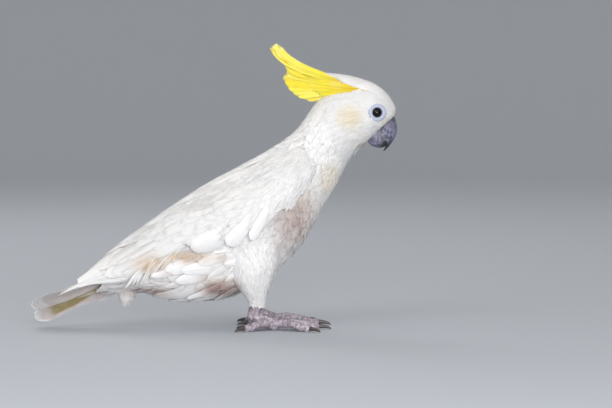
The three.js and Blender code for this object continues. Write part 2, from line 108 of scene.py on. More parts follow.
# The right thigh: height, centre (x, y), half its length along X and half its width along Y.
THIGH = np.array([
    (114, 46, 23, 24, 10),
    (100, 44, 25, 27, 14.5),
    (86, 42.5, 27.5, 27.5, 18.2),
    (72, 41.5, 28.8, 26, 19.2),
    (59, 41, 28.8, 22.5, 18),
    (48, 41, 28, 18.5, 15),
    (39, 43, 27, 13.5, 11.5),
    (31, 45, 26, 9.8, 8.8),
    (25, 45.5, 25, 8.6, 7.6),
])
LEFT_THIGH_LEAN = 5.0  # how far the left thigh leans ahead at its top
CLEARANCE = 0.02  # how high the soles and the claws stay above the ground

# The downy tuft that hangs below the vent, in the thigh's terms.
TUFT = np.array([
    (47, -89, 0, 14, 10),
    (40, -91.5, 0, 12, 8),
    (33, -93.5, 0, 9, 5.5),
    (26, -94.5, 0, 4, 2.5),
])

# Large loose plumes of the flank: root (x, z), tip (x, z), half the width, lift of the tip, bow.
PLUMES = np.array([
    (26, 80, -16, 71, 8.0, 2.0, -2),
    (20, 74, -33, 62, 9.5, 3.5, -3),
    (-8, 72, -50, 62, 7.0, 2.5, -3),
    (-34, 66, -64, 57.5, 4.6, 5.0, -2),
    (4, 66, -38, 51, 9.0, 4.5, -4),
    (-2, 58, -61, 37, 10.5, 5.0, -6),
    (24, 56, -6, 42, 6.0, 3.0, -3),
    (13, 52, -26, 35, 5.2, 5.5, -5),
    (-8, 42, -47, 32, 6.5, 3.5, -3),
])

# The tail: its root and tip (x, z), its half-widths at even steps for the right and left edge, its
# arch, and its roll about its own axis, which raises the right edge.
TAIL_ROOT = np.array((-88.0, 60.0))
TAIL_TIP = np.array((-191.5, 19.5))
TAIL_RIGHT = np.array((6.0, 9.0, 17.0, 25.0))
TAIL_LEFT = np.array((16.0, 22.0, 18.5, 19.0))
TAIL_ARCH = 4.0
TAIL_ROLL = (math.radians(20), math.radians(40), 0.45)  # at the root, in full, reached at

# The crest from the top plume to the lowest: root (x, z), bend (x, z), tip (x, z), and how far the
# root lies from the midplane, on the side of the crown.
CREST = np.array([
    (168, 257.5, 73, 270.5, 65, 299.5, 6),
    (166, 256, 75, 264.5, 60, 293.5, 9),
    (165, 254, 94, 264.5, 76, 274, 14),
    (165, 252.5, 98, 258, 74, 264, 17.5),
    (163, 251.5, 101, 254, 80, 253.5, 19),
    (155, 250, 110, 251, 88, 246.5, 19.8),
    (148, 247.5, 118, 247, 99, 241, 20.5),
])

# The wedge of the head from which the plumes spring: x, and its upper and its lower edge's height.
CREST_BASE = np.array([
    (100, 283, 240),
    (111.5, 276, 245),
    (128.5, 265, 248.2),
    (141, 259.5, 249.8),
    (158.5, 253.4, 251.6),
])

# The white cap of the crown from the forehead back: its top (x, z), its lower edge (x, z) and how
# far that edge lies from the midplane.
CAP = np.array([
    (191, 236, 187, 228, 11.5),
    (184.5, 247.8, 180, 237, 16.5),
    (176, 254.8, 171, 244, 18.6),
    (165, 261.0, 163, 250.5, 17.2),
    (152, 265.2, 151.5, 255.8, 14.5),
    (139, 268.2, 138.5, 260.5, 11),
    (127, 269.6, 128, 265.8, 6.5),
    (115, 270.3, 116, 269.5, 2.5),
])

# The beak: outer point (x, z), inner point (x, z) and half the width at each station.
BEAK_UPPER = np.array([
    (187, 229, 170, 209, 8.5),
    (191.5, 222, 172.5, 209.5, 10.5),
    (193.3, 213, 175.5, 204.5, 10),
    (192.5, 204.5, 180, 199.5, 7.8),
    (188.5, 197.5, 182.5, 196.5, 4.6),
    (183.8, 191.5, 181, 192.3, 2.2),
    (179.3, 187.2, 178.7, 187.8, 0.6),
])
BEAK_LOWER = np.array([
    (160.5, 203.5, 170.5, 213, 8.5),
    (162, 198, 174, 208.8, 9.6),
    (167.5, 192.8, 177.8, 204.2, 9.2),
    (175.5, 191, 181.4, 199.5, 7.4),
    (181, 192.6, 182.8, 196.9, 4.6),
])

# The right eye: its centre, how far it looks ahead, and the eyeball's radius.
EYE = np.array((171.0, -18.7, 229.0))
EYE_AHEAD = math.radians(11)
EYEBALL = 6.0
# Distances from the eye's axis: where the skin starts to sink, which the small feathers' tips and
# then whole feathers keep out of.
EYE_WELL, EYE_TIPS, EYE_CLEAR = 8.5, 8.2, 7.9
# The eye's own frame: its axis out of the head, and the ways ahead and up across it.
AXIS = np.array((math.sin(EYE_AHEAD), -math.cos(EYE_AHEAD), 0))
AHEAD = np.array((math.cos(EYE_AHEAD), math.sin(EYE_AHEAD), 0))
UP = np.array((0, 0, 1.0))

# Colour on the coat and the skin, as ovals seen from the side: dose, centre (x, z), half-sizes
# (x, z), and the share of them within which the dose is whole. The chin's stain is a real stain;
# the other stains and all the shades are painted shade, warm or grey-mauve.
EAR_PATCH = (
    (0.38, 142, 224, 20, 17, 0.35),
    (0.22, 180, 220, 7, 5, 0.2),  # beside the beak
)
THROAT = (
    (0.24, 122, 158, 18, 28, 0.2),
    (0.06, 150, 205, 16, 16, 0.2),
)
STAINS_AND_SHADE = (
    (0.60, 158.5, 192.5, 6, 6, 0.2),  # chin
    (0.8, -20, 77, 40, 9, 0.1),  # below the folded wing: painted warm shade
    (0.42, 8, 46, 32, 14, 0.2),  # belly: painted warm shade behind the thigh
    (0.32, 92, 130, 26, 42, 0.2),  # breast: painted warm shade
)
# The shades are painted shade, where shade falls on the bird.
PAINTED_SHADES = (
    (0.62, 84, 110, 36, 52, 0.2),  # breast: painted shade, turned from the light
    (0.30, -70, 42, 60, 14, 0.2),  # vent: painted shadow under the belly
    # under the vent: painted shadow
    (0.45, -66, 38, 34, 9, 0.2),
    (1.0, 8, 43, 32, 13, 0.2),  # belly: painted shade behind the thigh
    (0.55, 158.5, 192, 6, 6, 0.2),  # chin: painted shade below the beak
    (0.40, -20, 78, 40, 6, 0.1),  # below the folded wing: painted shadow
)
WING_STAINS_AND_SHADE = (
    # curled feathers: cream stain
    (0.62, -66, 71, 36, 17, 0.1),
    # gap below the lobes: painted warm shade
    (0.60, -26, 79, 36, 8, 0.2),
)

# A foot: shank from heel to palm, and toes by angle, length, radius, arch and claw length.
HEEL = np.array((42.0, -25.0, 15.0))
PALM = np.array((63.0, -26.0, 6.2))
TOES = {
    "inner_front": (-4, 48, 4.7, 2.6, 15),
    "outer_front": (30, 44, 4.7, 3.0, 15),
    "outer_back": (146, 37, 4.6, 3.0, 14),
    "inner_back": (190, 29, 4.2, 2.0, 13),
}

# The frame's own centre of the right eye says where the bird stands in it.
HOME = np.mean(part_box("eye_right"), axis=0) - EYE * MM


# ---- Arithmetic ---------------------------------------------------------------------------------

def linear(code):
    """An sRGB hex code as linear red, green, blue and alpha."""
    srgb = np.array([int(code[i:i + 2], 16) for i in (1, 3, 5)]) / 255
    low = srgb / 12.92
    high = ((srgb + 0.055) / 1.055) ** 2.4
    return (*np.where(srgb <= 0.04045, low, high), 1.0)


def blend(rows, t):
    """The Catmull-Rom curve through rows at t, which counts rows, and its end tangents beyond them:
    half of (2b + (c - a) f + (2a - 5b + 4c - d) f^2 + (3b - a - 3c + d) f^3)."""
    rows = np.asarray(rows, float)
    t = np.asarray(t, float)
    last = len(rows) - 1
    i = np.clip(np.floor(t).astype(int), 0, last - 1)
    f = t - i
    inside = np.clip(f, 0, 1)
    beyond = f - inside
    if rows.ndim > 1:
        inside, beyond = inside[..., None], beyond[..., None]
    a, b, c, d = (rows[np.clip(i + k, 0, last)] for k in (-1, 0, 1, 2))
    square = 2 * a - 5 * b + 4 * c - d
    cube = 3 * b - a - 3 * c + d
    value = 0.5 * (2 * b + (c - a) * inside + square * inside**2 + cube * inside**3)
    slope = 0.5 * ((c - a) + 2 * square * inside + 3 * cube * inside**2)
    return value + slope * beyond


def smooth(x, low=0.0, high=1.0):
    """0 below low, 1 above high, and 3f^2 - 2f^3 between them."""
    f = np.clip((np.asarray(x, float) - low) / (high - low), 0, 1)
    return f * f * (3 - 2 * f)


def unit(v):
    """Vectors over their lengths."""
    return v / np.maximum(np.linalg.norm(v, axis=-1, keepdims=True), 1e-9)


def vec(*columns):
    """Columns side by side along a new last axis."""
    return np.stack(np.broadcast_arrays(*columns), axis=-1)


# ---- Surfaces -----------------------------------------------------------------------------------

class Surface:
    """A surface point(a, b) in millimetres, which way from the cross product is out, and how many
    of its stations the feathers' map is spread over."""

    def __init__(self, point, outward=1.0, spread=16):
        self.point = point
        self.outward = outward
        self.spread = spread

    def steps(self, a, b):
        """How the point moves from STEP before to STEP after, along a and along b."""
        return (self.point(a + STEP, b) - self.point(a - STEP, b),
                self.point(a, b + STEP) - self.point(a, b - STEP))

    def normal(self, a, b):
        """The unit cross product of the steps along a and along b."""
        return self.outward * unit(np.cross(*self.steps(a, b)))

    def raised(self, a, b, lift):
        """Points on the surface, moved out along its normal by lift."""
        return self.point(a, b) + self.normal(a, b) * np.asarray(lift)[..., None]

    def home(self, root):
        """Each root's place on the map: a share of the spread, and a share of a turn."""
        return vec(root[:, 0] / self.spread, (root[:, 1] % TWO_PI) / TWO_PI)

    def scales(self, a, b):
        """Millimetres to one unit of a, and to one unit of b."""
        return tuple(np.maximum(np.linalg.norm(step, axis=-1) / (2 * STEP), 1.0)
                     for step in self.steps(a, b))


def body_point(t, turn):
    """Round a ring: from its middle, up the back-belly line by its reach times cos(turn), and
    sideways by its half-width times sin(turn)."""
    r = blend(BODY, t)
    back, belly = r[..., 0:2], r[..., 2:4]
    half, widest = r[..., 4], r[..., 5]
    down = belly - back
    height = np.linalg.norm(down, axis=-1)
    reach = np.where(np.cos(turn) > 0, widest, 1 - widest) * height
    middle = back + down * widest[..., None]
    xz = middle - unit(down) * (reach * np.cos(turn))[..., None]
    return vec(xz[..., 0], half * np.sin(turn), xz[..., 1])


def wing_point(t, v):
    """The parabola from the upper edge over the fullest line to the lower edge, at share v."""
    r = blend(WING, t)
    upper = vec(r[..., 0], -r[..., 4], r[..., 1])
    lower = vec(r[..., 2], -r[..., 6], r[..., 3])
    full = (upper + lower) / 2
    full[..., 1] = -r[..., 5]
    bend = 2 * full - (upper + lower) / 2
    v = np.asarray(v)[..., None]
    return (1 - v) ** 2 * upper + 2 * (1 - v) * v * bend + v**2 * lower


def oval_point(table):
    """The function of level oval rings at stations of a table: half its length times cos(turn)
    ahead of the centre, and half its width times sin(turn) aside."""
    def point(t, turn):
        z, x, y, along, across = np.moveaxis(blend(table, t), -1, 0)
        return vec(x + along * np.cos(turn), -y + across * np.sin(turn), z)
    return point


def tail_point(f, u):
    """Along the axis by f, shorter towards the edges; aside by u half-widths; sunk by the arch."""
    axis = unit(np.array((TAIL_TIP[0] - TAIL_ROOT[0], 0, TAIL_TIP[1] - TAIL_ROOT[1])))
    up = np.array((axis[2], 0, -axis[0]))
    left = np.array((0, 1.0, 0))
    start, full, reached = TAIL_ROLL
    turned = np.sin(np.pi / 2 * np.clip(f / reached, 0, 1))
    roll = (start + (full - start) * turned)[..., None]
    side = left * np.cos(roll) - up * np.sin(roll)
    rise = up * np.cos(roll) + left * np.sin(roll)
    half = np.where(u < 0, blend(TAIL_RIGHT, 3 * f), blend(TAIL_LEFT, 3 * f))
    share = (f * (1 - 0.035 * u**2))[..., None]
    xz = TAIL_ROOT + (TAIL_TIP - TAIL_ROOT) * share
    middle = vec(xz[..., 0], np.zeros_like(u * f), xz[..., 1])
    return middle + side * (u * half)[..., None] - rise * (TAIL_ARCH * u**2 * f)[..., None]


def crest_point(a, b):
    """The plume curve number b, a parabola from root by bend to tip, drawn in to the midplane."""
    r = blend(CREST, b * (len(CREST) - 1))
    a = np.asarray(a)
    s = a[..., None]
    xz = (1 - s) ** 2 * r[..., 0:2] + 2 * (1 - s) * s * r[..., 2:4] + s**2 * r[..., 4:6]
    drawn = np.clip(1 - a / 0.6, 0, 2) ** 0.75
    y = 1.5 + (r[..., 6] - 1.5) * drawn - 1.0 * (1 - smooth(a, 0.05, 0.3))
    return vec(xz[..., 0], -y, xz[..., 1])


def kept_wing_point(t, v):
    """The wing's surface with v bent smoothly to stay between its edges, by the softplus
    k log(1 + exp(x / k)), so that no feather stands out past them."""
    k = 0.02
    v = 0.01 + k * np.logaddexp(0, (v - 0.01) / k)
    v = 1.10 - k * np.logaddexp(0, (1.10 - v) / k)
    return wing_point(t, v)


def ridge_point(t, w):
    """A parabola across the back, over the wings' upper edges: from one wing's surface a little
    below its edge, at w = -1, to the other wing's, at w = 1."""
    top = wing_point(t, 0 * t)
    low = wing_point(t, 0 * t + 0.12)
    w = np.asarray(w)
    return vec(top[..., 0] + (low[..., 0] - top[..., 0]) * w**2, low[..., 1] * w,
               top[..., 2] + (low[..., 2] - top[..., 2]) * w**2)


SKIN = Surface(body_point)
RIDGE = Surface(ridge_point)
WINGS = Surface(kept_wing_point)
THIGHS = Surface(oval_point(THIGH), spread=8)
TUFTS = Surface(oval_point(TUFT))
TAILS = Surface(tail_point, -1.0)
CRESTS = Surface(crest_point)


# ---- Meshes -------------------------------------------------------------------------------------

def grid_quads(ids):
    """Quads between neighbouring rows and columns of a grid of vertex numbers."""
    quads = vec(ids[:-1, :-1], ids[1:, :-1], ids[1:, 1:], ids[:-1, 1:])
    return quads.reshape(-1, 4)


def rings(along, cols):
    """A grid of stations by turns: the turns are equal and stop one short of the whole."""
    return np.broadcast_arrays(np.asarray(along)[:, None],
                               np.linspace(0, TWO_PI, cols, endpoint=False)[None])


def ring_ids(rows, cols):
    """Numbers of a grid's vertices, with the first column again at the end."""
    ids = np.arange(rows * cols).reshape(rows, cols)
    return np.concatenate((ids, ids[:, :1]), axis=1)


def shell(points, dye=None):
    """A closed tube from rows of rings, each end closed by a fan to its ring's middle point. The
    middle point takes a dye from its ring."""
    rows, cols = points.shape[:2]
    ids = ring_ids(rows, cols)
    quads = grid_quads(ids)
    tris = np.concatenate((vec(rows * cols, ids[0, :-1], ids[0, 1:]),
                           vec(rows * cols + 1, ids[-1, 1:], ids[-1, :-1])))
    middle = np.stack((points[0].mean(axis=0), points[-1].mean(axis=0)))
    part = {"points": np.concatenate((points.reshape(-1, 3), middle)), "quads": quads, "tris": tris}
    if dye is not None:
        dye = dye.reshape(-1, 3)
        part["dye"] = np.concatenate((dye, dye[[0, -1]]))
    return part


def joined(parts):
    """Several parts as one, with their faces' vertex numbers moved on."""
    whole = {}
    starts = np.cumsum([0] + [len(part["points"]) for part in parts])
    for key in parts[0]:
        moved = (p[key] + s if key in ("quads", "tris") else p[key] for p, s in zip(parts, starts))
        whole[key] = np.concatenate(list(moved))
    return whole


def mirrored(part):
    """The part on the other side of the midplane, with its faces turned to point outwards."""
    other = dict(part)
    other["points"] = part["points"] * (1, -1, 1)
    for key in ("quads", "tris"):
        if key in part:
            other[key] = part[key][:, ::-1]
    if "uv" in part:
        other["uv"] = part["uv"].reshape(-1, 4, 2)[:, ::-1].reshape(-1, 2)
    return other


# How a part of the right side becomes one of each side.
SIDES = (("right", lambda part: part), ("left", mirrored))


def mesh_of(name, part):
    """A smooth mesh from a part in millimetres, with its map and its attributes."""
    quads = part.get("quads", np.zeros((0, 4), int))
    tris = part.get("tris", np.zeros((0, 3), int))
    mesh = bpy.data.meshes.new(name)
    mesh.vertices.add(len(part["points"]))
    where = (part["points"] * MM + HOME).astype(np.float32)
    mesh.vertices.foreach_set("co", where.ravel())
    mesh.loops.add(quads.size + tris.size)
    corners = np.concatenate((quads.ravel(), tris.ravel()))
    mesh.loops.foreach_set("vertex_index", corners.astype(np.int32))
    mesh.polygons.add(len(quads) + len(tris))
    starts = np.concatenate((np.arange(len(quads)) * 4, quads.size + np.arange(len(tris)) * 3))
    mesh.polygons.foreach_set("loop_start", starts.astype(np.int32))
    mesh.polygons.foreach_set("use_smooth", np.ones(len(starts), bool))
    if "uv" in part:
        made = mesh.uv_layers.new(name="OFBake")
        made.data.foreach_set("uv", part["uv"].astype(np.float32).ravel())
    for key in ("vane", "dye"):
        if key in part:
            made = mesh.attributes.new(key, "FLOAT_VECTOR", "POINT")
            made.data.foreach_set("vector", part[key].astype(np.float32).ravel())
    mesh.update(calc_edges=True)
    if mesh.validate():
        raise RuntimeError(f"{name} had faces that had to be mended")
    mesh.set_sharp_from_angle(angle=math.radians(70))
    return mesh


def placed(name, data):
    """An object of the data, linked into the scene."""
    obj = bpy.data.objects.new(name, data)
    bpy.context.scene.collection.objects.link(obj)
    return obj


def piece(name, part, material, nodes=()):
    """Shows a part or a finished mesh in the frame, in place of the named solids."""
    mesh = mesh_of(name, part) if isinstance(part, dict) else part
    obj = placed(name, mesh)
    mesh.materials.clear()
    mesh.materials.append(material)
    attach(obj, "root")
    if nodes:
        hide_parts(*nodes)
    return obj


def remeshed(name, part, voxel, rounds):
    """The outer skin of overlapping closed parts, as one even mesh, smoothed some rounds."""
    rough = placed(name, mesh_of(name, part))
    remesh = rough.modifiers.new("skin", "REMESH")
    remesh.mode = "VOXEL"
    remesh.voxel_size = voxel * MM
    remesh.adaptivity = 0
    remesh.use_smooth_shade = True
    if rounds:
        relax = rough.modifiers.new("relax", "SMOOTH")
        relax.factor = 0.5
        relax.iterations = rounds
    bpy.context.view_layer.update()
    shaped = rough.evaluated_get(bpy.context.evaluated_depsgraph_get())
    mesh = bpy.data.meshes.new_from_object(shaped)
    bpy.data.objects.remove(rough)
    return mesh


def vertices_of(mesh):
    """A mesh's vertices in the bird's millimetres."""
    where = np.empty(len(mesh.vertices) * 3)
    mesh.vertices.foreach_get("co", where)
    return (where.reshape(-1, 3) - HOME) / MM


def move_vertices(mesh, where):
    """Puts a mesh's vertices where the bird's millimetres say."""
    mesh.vertices.foreach_set("co", (where * MM + HOME).astype(np.float32).ravel())
    mesh.update()


# ---- The lie of the coat ------------------------------------------------------------------------

def under_wing(p, table=WING):
    """The parameters of a wing or a body under points seen from the side. Halving finds the station
    whose line from upper to lower edge they lie on, and the share is their projection on it."""
    last = len(table) - 1.0
    turned = np.sign(table[-1, 0] - table[0, 0])
    low, high = np.zeros(p.shape[:-1]), np.full(p.shape[:-1], last)
    for _ in range(20):
        t = (low + high) / 2
        r = blend(table, t)
        down = r[..., 2:4] - r[..., 0:2]
        off = p[..., [0, 2]] - r[..., 0:2]
        behind = (down[..., 0] * off[..., 1] - down[..., 1] * off[..., 0]) * turned > 0
        low, high = np.where(behind, t, low), np.where(behind, high, t)
    v = (down * off).sum(axis=-1) / (down * down).sum(axis=-1)
    return t, v


def tucked(p):
    """Points under a wing are drawn in until they lie below its inner face."""
    t, v = under_wing(p)
    last = len(WING) - 1.0
    inside = smooth(t, 0.02, 0.5) * (1 - smooth(t, last - 0.3, last - 0.02))
    inside = inside * smooth(v, -0.02, 0.06) * (1 - smooth(v, 0.93, 1.04))
    room = -wing_point(t, np.clip(v, 0, 1))[..., 1] - np.clip(blend(WING_THICK, t), 2, 5) * 0.9
    y = np.abs(p[..., 1])
    y = y + inside * (np.minimum(y, np.maximum(room, 0.5)) - y)
    return vec(p[..., 0], np.sign(p[..., 1]) * y, p[..., 2])


def eye_distance(p):
    """How far points lie from the eyes' axes, and 1 where they are on the outer half of a side."""
    side = vec(p[..., 0], -np.abs(p[..., 1]), p[..., 2]) - EYE
    ahead = side @ AXIS
    return np.linalg.norm(side - ahead[..., None] * AXIS, axis=-1), (ahead > -EYEBALL).astype(float)


def spots(p, table):
    """The sum over a table's ovals, seen from the side, of dose times 1 inside the share soft of
    the oval, falling to 0 at its rim."""
    total = np.zeros(p.shape[:-1])
    for dose, x, z, wide, tall, soft in table:
        far = np.hypot((p[..., 0] - x) / wide, (p[..., 2] - z) / tall)
        total += dose * (1 - smooth(far, soft, 1.0))
    return total


def markings_and_shade(p):
    """How yellow, how stained and how much painted shade the coat and the skin get at points.
    Some of the stain is painted warm shade.
    """
    side = smooth(np.abs(p[..., 1]), 8, 15)
    yellow = side * spots(p, EAR_PATCH) + spots(p, THROAT)
    return vec(yellow, spots(p, STAINS_AND_SHADE), spots(p, PAINTED_SHADES))


def vanes(surface, root, tip, half, low, high, rng, home=None, patch=0.003, rows=6, cols=5,
          neck=0.3, full=0.45, taper=0.0, blunt=0.9, bow=0.0, cup=0.06, curl=0.0, thick=0.45,
          rise=1.3):
    """Closed thin feathers on a surface, all at once, each with a patch of the map at its home.
    With s from root to tip and c from edge to edge, a feather's middle line runs straight through
    the surface's two parameters, and a point is s (1 - k c c) of the way along it, which rounds its
    end, with k as blunt half-widths over the length. It lies c half-widths and bow s^2 aside. The
    width grows from neck to 1 by s = full and shrinks by taper at the tip. Its lift goes from low
    to high as s^rise, less cup half-widths at the edges, plus curl s^4, and its lower face lies
    thick below. The vane attribute holds millimetres along and across it, and its own number."""
    n = len(root)
    home = surface.home(root) if home is None else home
    half, low, high, bow, curl, blunt, taper, cup, rise = (
        np.broadcast_to(value, n)[:, None, None]
        for value in (half, low, high, bow, curl, blunt, taper, cup, rise))
    s = np.linspace(0, 1, rows)[None, :, None]
    c = np.linspace(-1, 1, cols)[None, None, :]
    scale = vec(*surface.scales(*((root + tip) / 2).T))
    run = (tip - root) * scale
    length = np.linalg.norm(run, axis=-1)[:, None, None]
    way = unit(run)
    aside = vec(-way[:, 1], way[:, 0]) / scale
    share = s * (1 - np.clip(blunt * half / length, 0, 0.75) * c**2)
    width = (neck + (1 - neck) * smooth(s, 0, full)) * (1 - taper * s**2.5)
    across = half * width * c
    off = across + bow * share**2
    root, ahead, aside = (x[:, :, None, None] for x in (root, tip - root, aside))
    a, b = (root[:, k] + ahead[:, k] * share + aside[:, k] * off for k in (0, 1))
    lift = low + (high - low) * share**rise - cup * half * c**2 * width + curl * share**4
    top = surface.raised(a, b, lift).reshape(n, -1, 3)
    inner = (slice(None), slice(1, -1), slice(1, -1))
    under = surface.raised(a[inner], b[inner], (lift - thick)[inner]).reshape(n, -1, 3)
    count = top.shape[1] + under.shape[1]

    upper = np.arange(rows * cols).reshape(rows, cols)
    lower = upper.copy()
    lower[1:-1, 1:-1] = rows * cols + np.arange(under.shape[1]).reshape(rows - 2, cols - 2)
    faces = np.concatenate((grid_quads(upper), grid_quads(lower)[:, ::-1]))
    if surface.outward < 0:
        faces = faces[:, ::-1]
    quads = (faces[None] + (np.arange(n) * count)[:, None, None]).reshape(-1, 4)

    across = across + 0 * share
    tint = np.broadcast_to(rng.random(n)[:, None, None], share.shape)
    flat = vec(share * length, across, tint)
    vane = np.concatenate((flat.reshape(n, -1, 3), flat[inner].reshape(n, -1, 3)), axis=1)
    spread = vec(0.25 + 0.22 * c + 0 * s, 0.02 + 0.96 * s + 0 * c).reshape(-1, 2)
    spread = np.concatenate((spread, spread.reshape(rows, cols, 2)[1:-1, 1:-1].reshape(-1, 2)))
    where = spread[faces]
    where[len(faces) // 2:, :, 0] += 0.5
    uv = np.asarray(home)[:, None, None, :] + patch * where[None]
    return {"points": np.concatenate((top, under), axis=1).reshape(-1, 3), "quads": quads,
            "uv": uv.reshape(-1, 2), "vane": vane.reshape(-1, 3)}


def cells(n):
    """Places of n equal cells on a map, and a cell's size, for few large feathers."""
    side = math.ceil(math.sqrt(n))
    place = vec(np.arange(n) % side, np.arange(n) // side)
    return (place + 0.02) / side, 0.96 / side


def away(a, b, size, aim, scales, step=1):
    """Where feathers of a size end: cos(aim) of it along the stations and sin(aim) of it aside."""
    along, across = scales
    return vec(a + step * size * np.cos(aim) / along, b + size * np.sin(aim) / across)


def staggered(count):
    """Every place's row, and its number in the row, for rows of count places."""
    row = np.repeat(np.arange(len(count)), count)
    return row, np.arange(len(row)) - np.repeat(np.cumsum(count) - count, count)


def girth(surface, t, turns=48):
    """The length round the rings at stations t."""
    turn = np.linspace(0, TWO_PI, turns + 1)
    ring = surface.point(np.asarray(t)[:, None] + 0 * turn, turn[None] + 0 * np.asarray(t)[:, None])
    return np.linalg.norm(np.diff(ring, axis=1), axis=-1).sum(axis=1)


def stations(surface, start, end, lengths, pitch):
    """Stations from start to end, each a share pitch of a feather's length after the last."""
    found = [start]
    turn = np.linspace(0, TWO_PI, 25)
    step = -1 if end < start else 1
    while (end - found[-1]) * step > 0:
        widest = surface.scales(np.full(25, found[-1]), turn)[0].max()
        found.append(found[-1] + step * pitch * float(blend(lengths, found[-1])) / widest)
    return np.array(found)


def ring_rows(surface, start, end, lengths, share, pitch, rng):
    """Roots and tips of feathers in rings, every other ring half a step round. Their lengths go by
    station, and their half-widths are a share of them. Where the rings crowd together, some are
    left out. Returns roots, tips, lengths and half-widths."""
    t = stations(surface, start, end, lengths, pitch)
    spacing = SPACING * share * blend(lengths, t)
    count = np.maximum(6, np.round(girth(surface, t) / spacing).astype(int))
    row, place = staggered(count)
    turn = (place + 0.5 * (row % 2) + rng.uniform(-0.22, 0.22, len(row))) / count[row] * TWO_PI
    size = blend(lengths, t)[row] * rng.uniform(0.88, 1.14, len(row))
    root_t = t[row]
    along, across = surface.scales(root_t, turn)
    around = np.linspace(0, TWO_PI, 25)
    most = surface.scales(t[:, None] + 0 * around, around + 0 * t[:, None])[0].max(axis=1)
    root_t = root_t + rng.uniform(-0.3, 0.3, len(row)) * pitch * size / along
    keep = rng.random(len(row)) < np.clip(1.25 * along / most[row], 0.35, 1)
    aim = rng.normal(0, 0.09, len(row))
    root = vec(root_t, turn)
    tip = away(root_t, turn, size, aim, (along, across), np.sign(end - start))
    half = share * size * rng.uniform(0.9, 1.1, len(row))
    return root[keep], tip[keep], size[keep], half[keep]


# ---- Shapes of the pieces -----------------------------------------------------------------------

# Feather lengths along the body, by station.
FEATHER_LENGTH = np.array([34, 32, 30, 27, 25, 24, 20, 17, 15, 13.5, 12, 10, 7.5, 6.5, 4.6, 3.4])
# How deep the skin lies under the coat's tips, by station.
COAT_DEPTH = np.array([5, 5, 5.5, 5, 4.5, 4, 4, 3.6, 3.2, 3, 2.6, 2.2, 1.5, 1.3, 1.1, 0.9])


def thigh_depth(radius):
    """How deep the skin lies under a thigh's coat: 0.3 of the radius there, from 1.2 to 3 mm."""
    return np.clip(radius * 0.3, 1.2, 3)


def body_skin():
    """The body's tube and both thighs, each sunk by the depth of its coat, overlapping."""
    t, turn = rings(np.linspace(0, FACE, 121), 80)
    trunk = tucked(SKIN.raised(t, turn, -blend(COAT_DEPTH, t)))
    leg = THIGHS.point(*rings(np.linspace(0, len(THIGH) - 1, 48), 48))
    middle = leg.mean(axis=1, keepdims=True)
    radius = np.linalg.norm(leg - middle, axis=-1, keepdims=True)
    leg = tucked(leg + (middle - leg) * thigh_depth(radius) / radius)
    right = shell(leg)
    return joined([shell(trunk), right, leaning(mirrored(right))])


def lean(z):
    """How far ahead the left thigh leans: nothing at the ankle and all of it above the knee."""
    return LEFT_THIGH_LEAN * smooth(z, 25, 62)


def leaning(part):
    """The part with its points moved ahead by the left thigh's lean at their heights."""
    part["points"] = part["points"] + vec(lean(part["points"][:, 2]), 0, 0)
    return part


def opened_for_eyes(p):
    """Skin near an eye's axis sinks, eased from nothing at the well's rim to 4 mm at 3.5 mm inside
    it."""
    far, outer = eye_distance(p)
    sink = 4.0 * smooth(EYE_WELL - far, 0, 3.5) * outer
    return vec(p[..., 0], p[..., 1] - np.sign(p[..., 1]) * sink, p[..., 2])


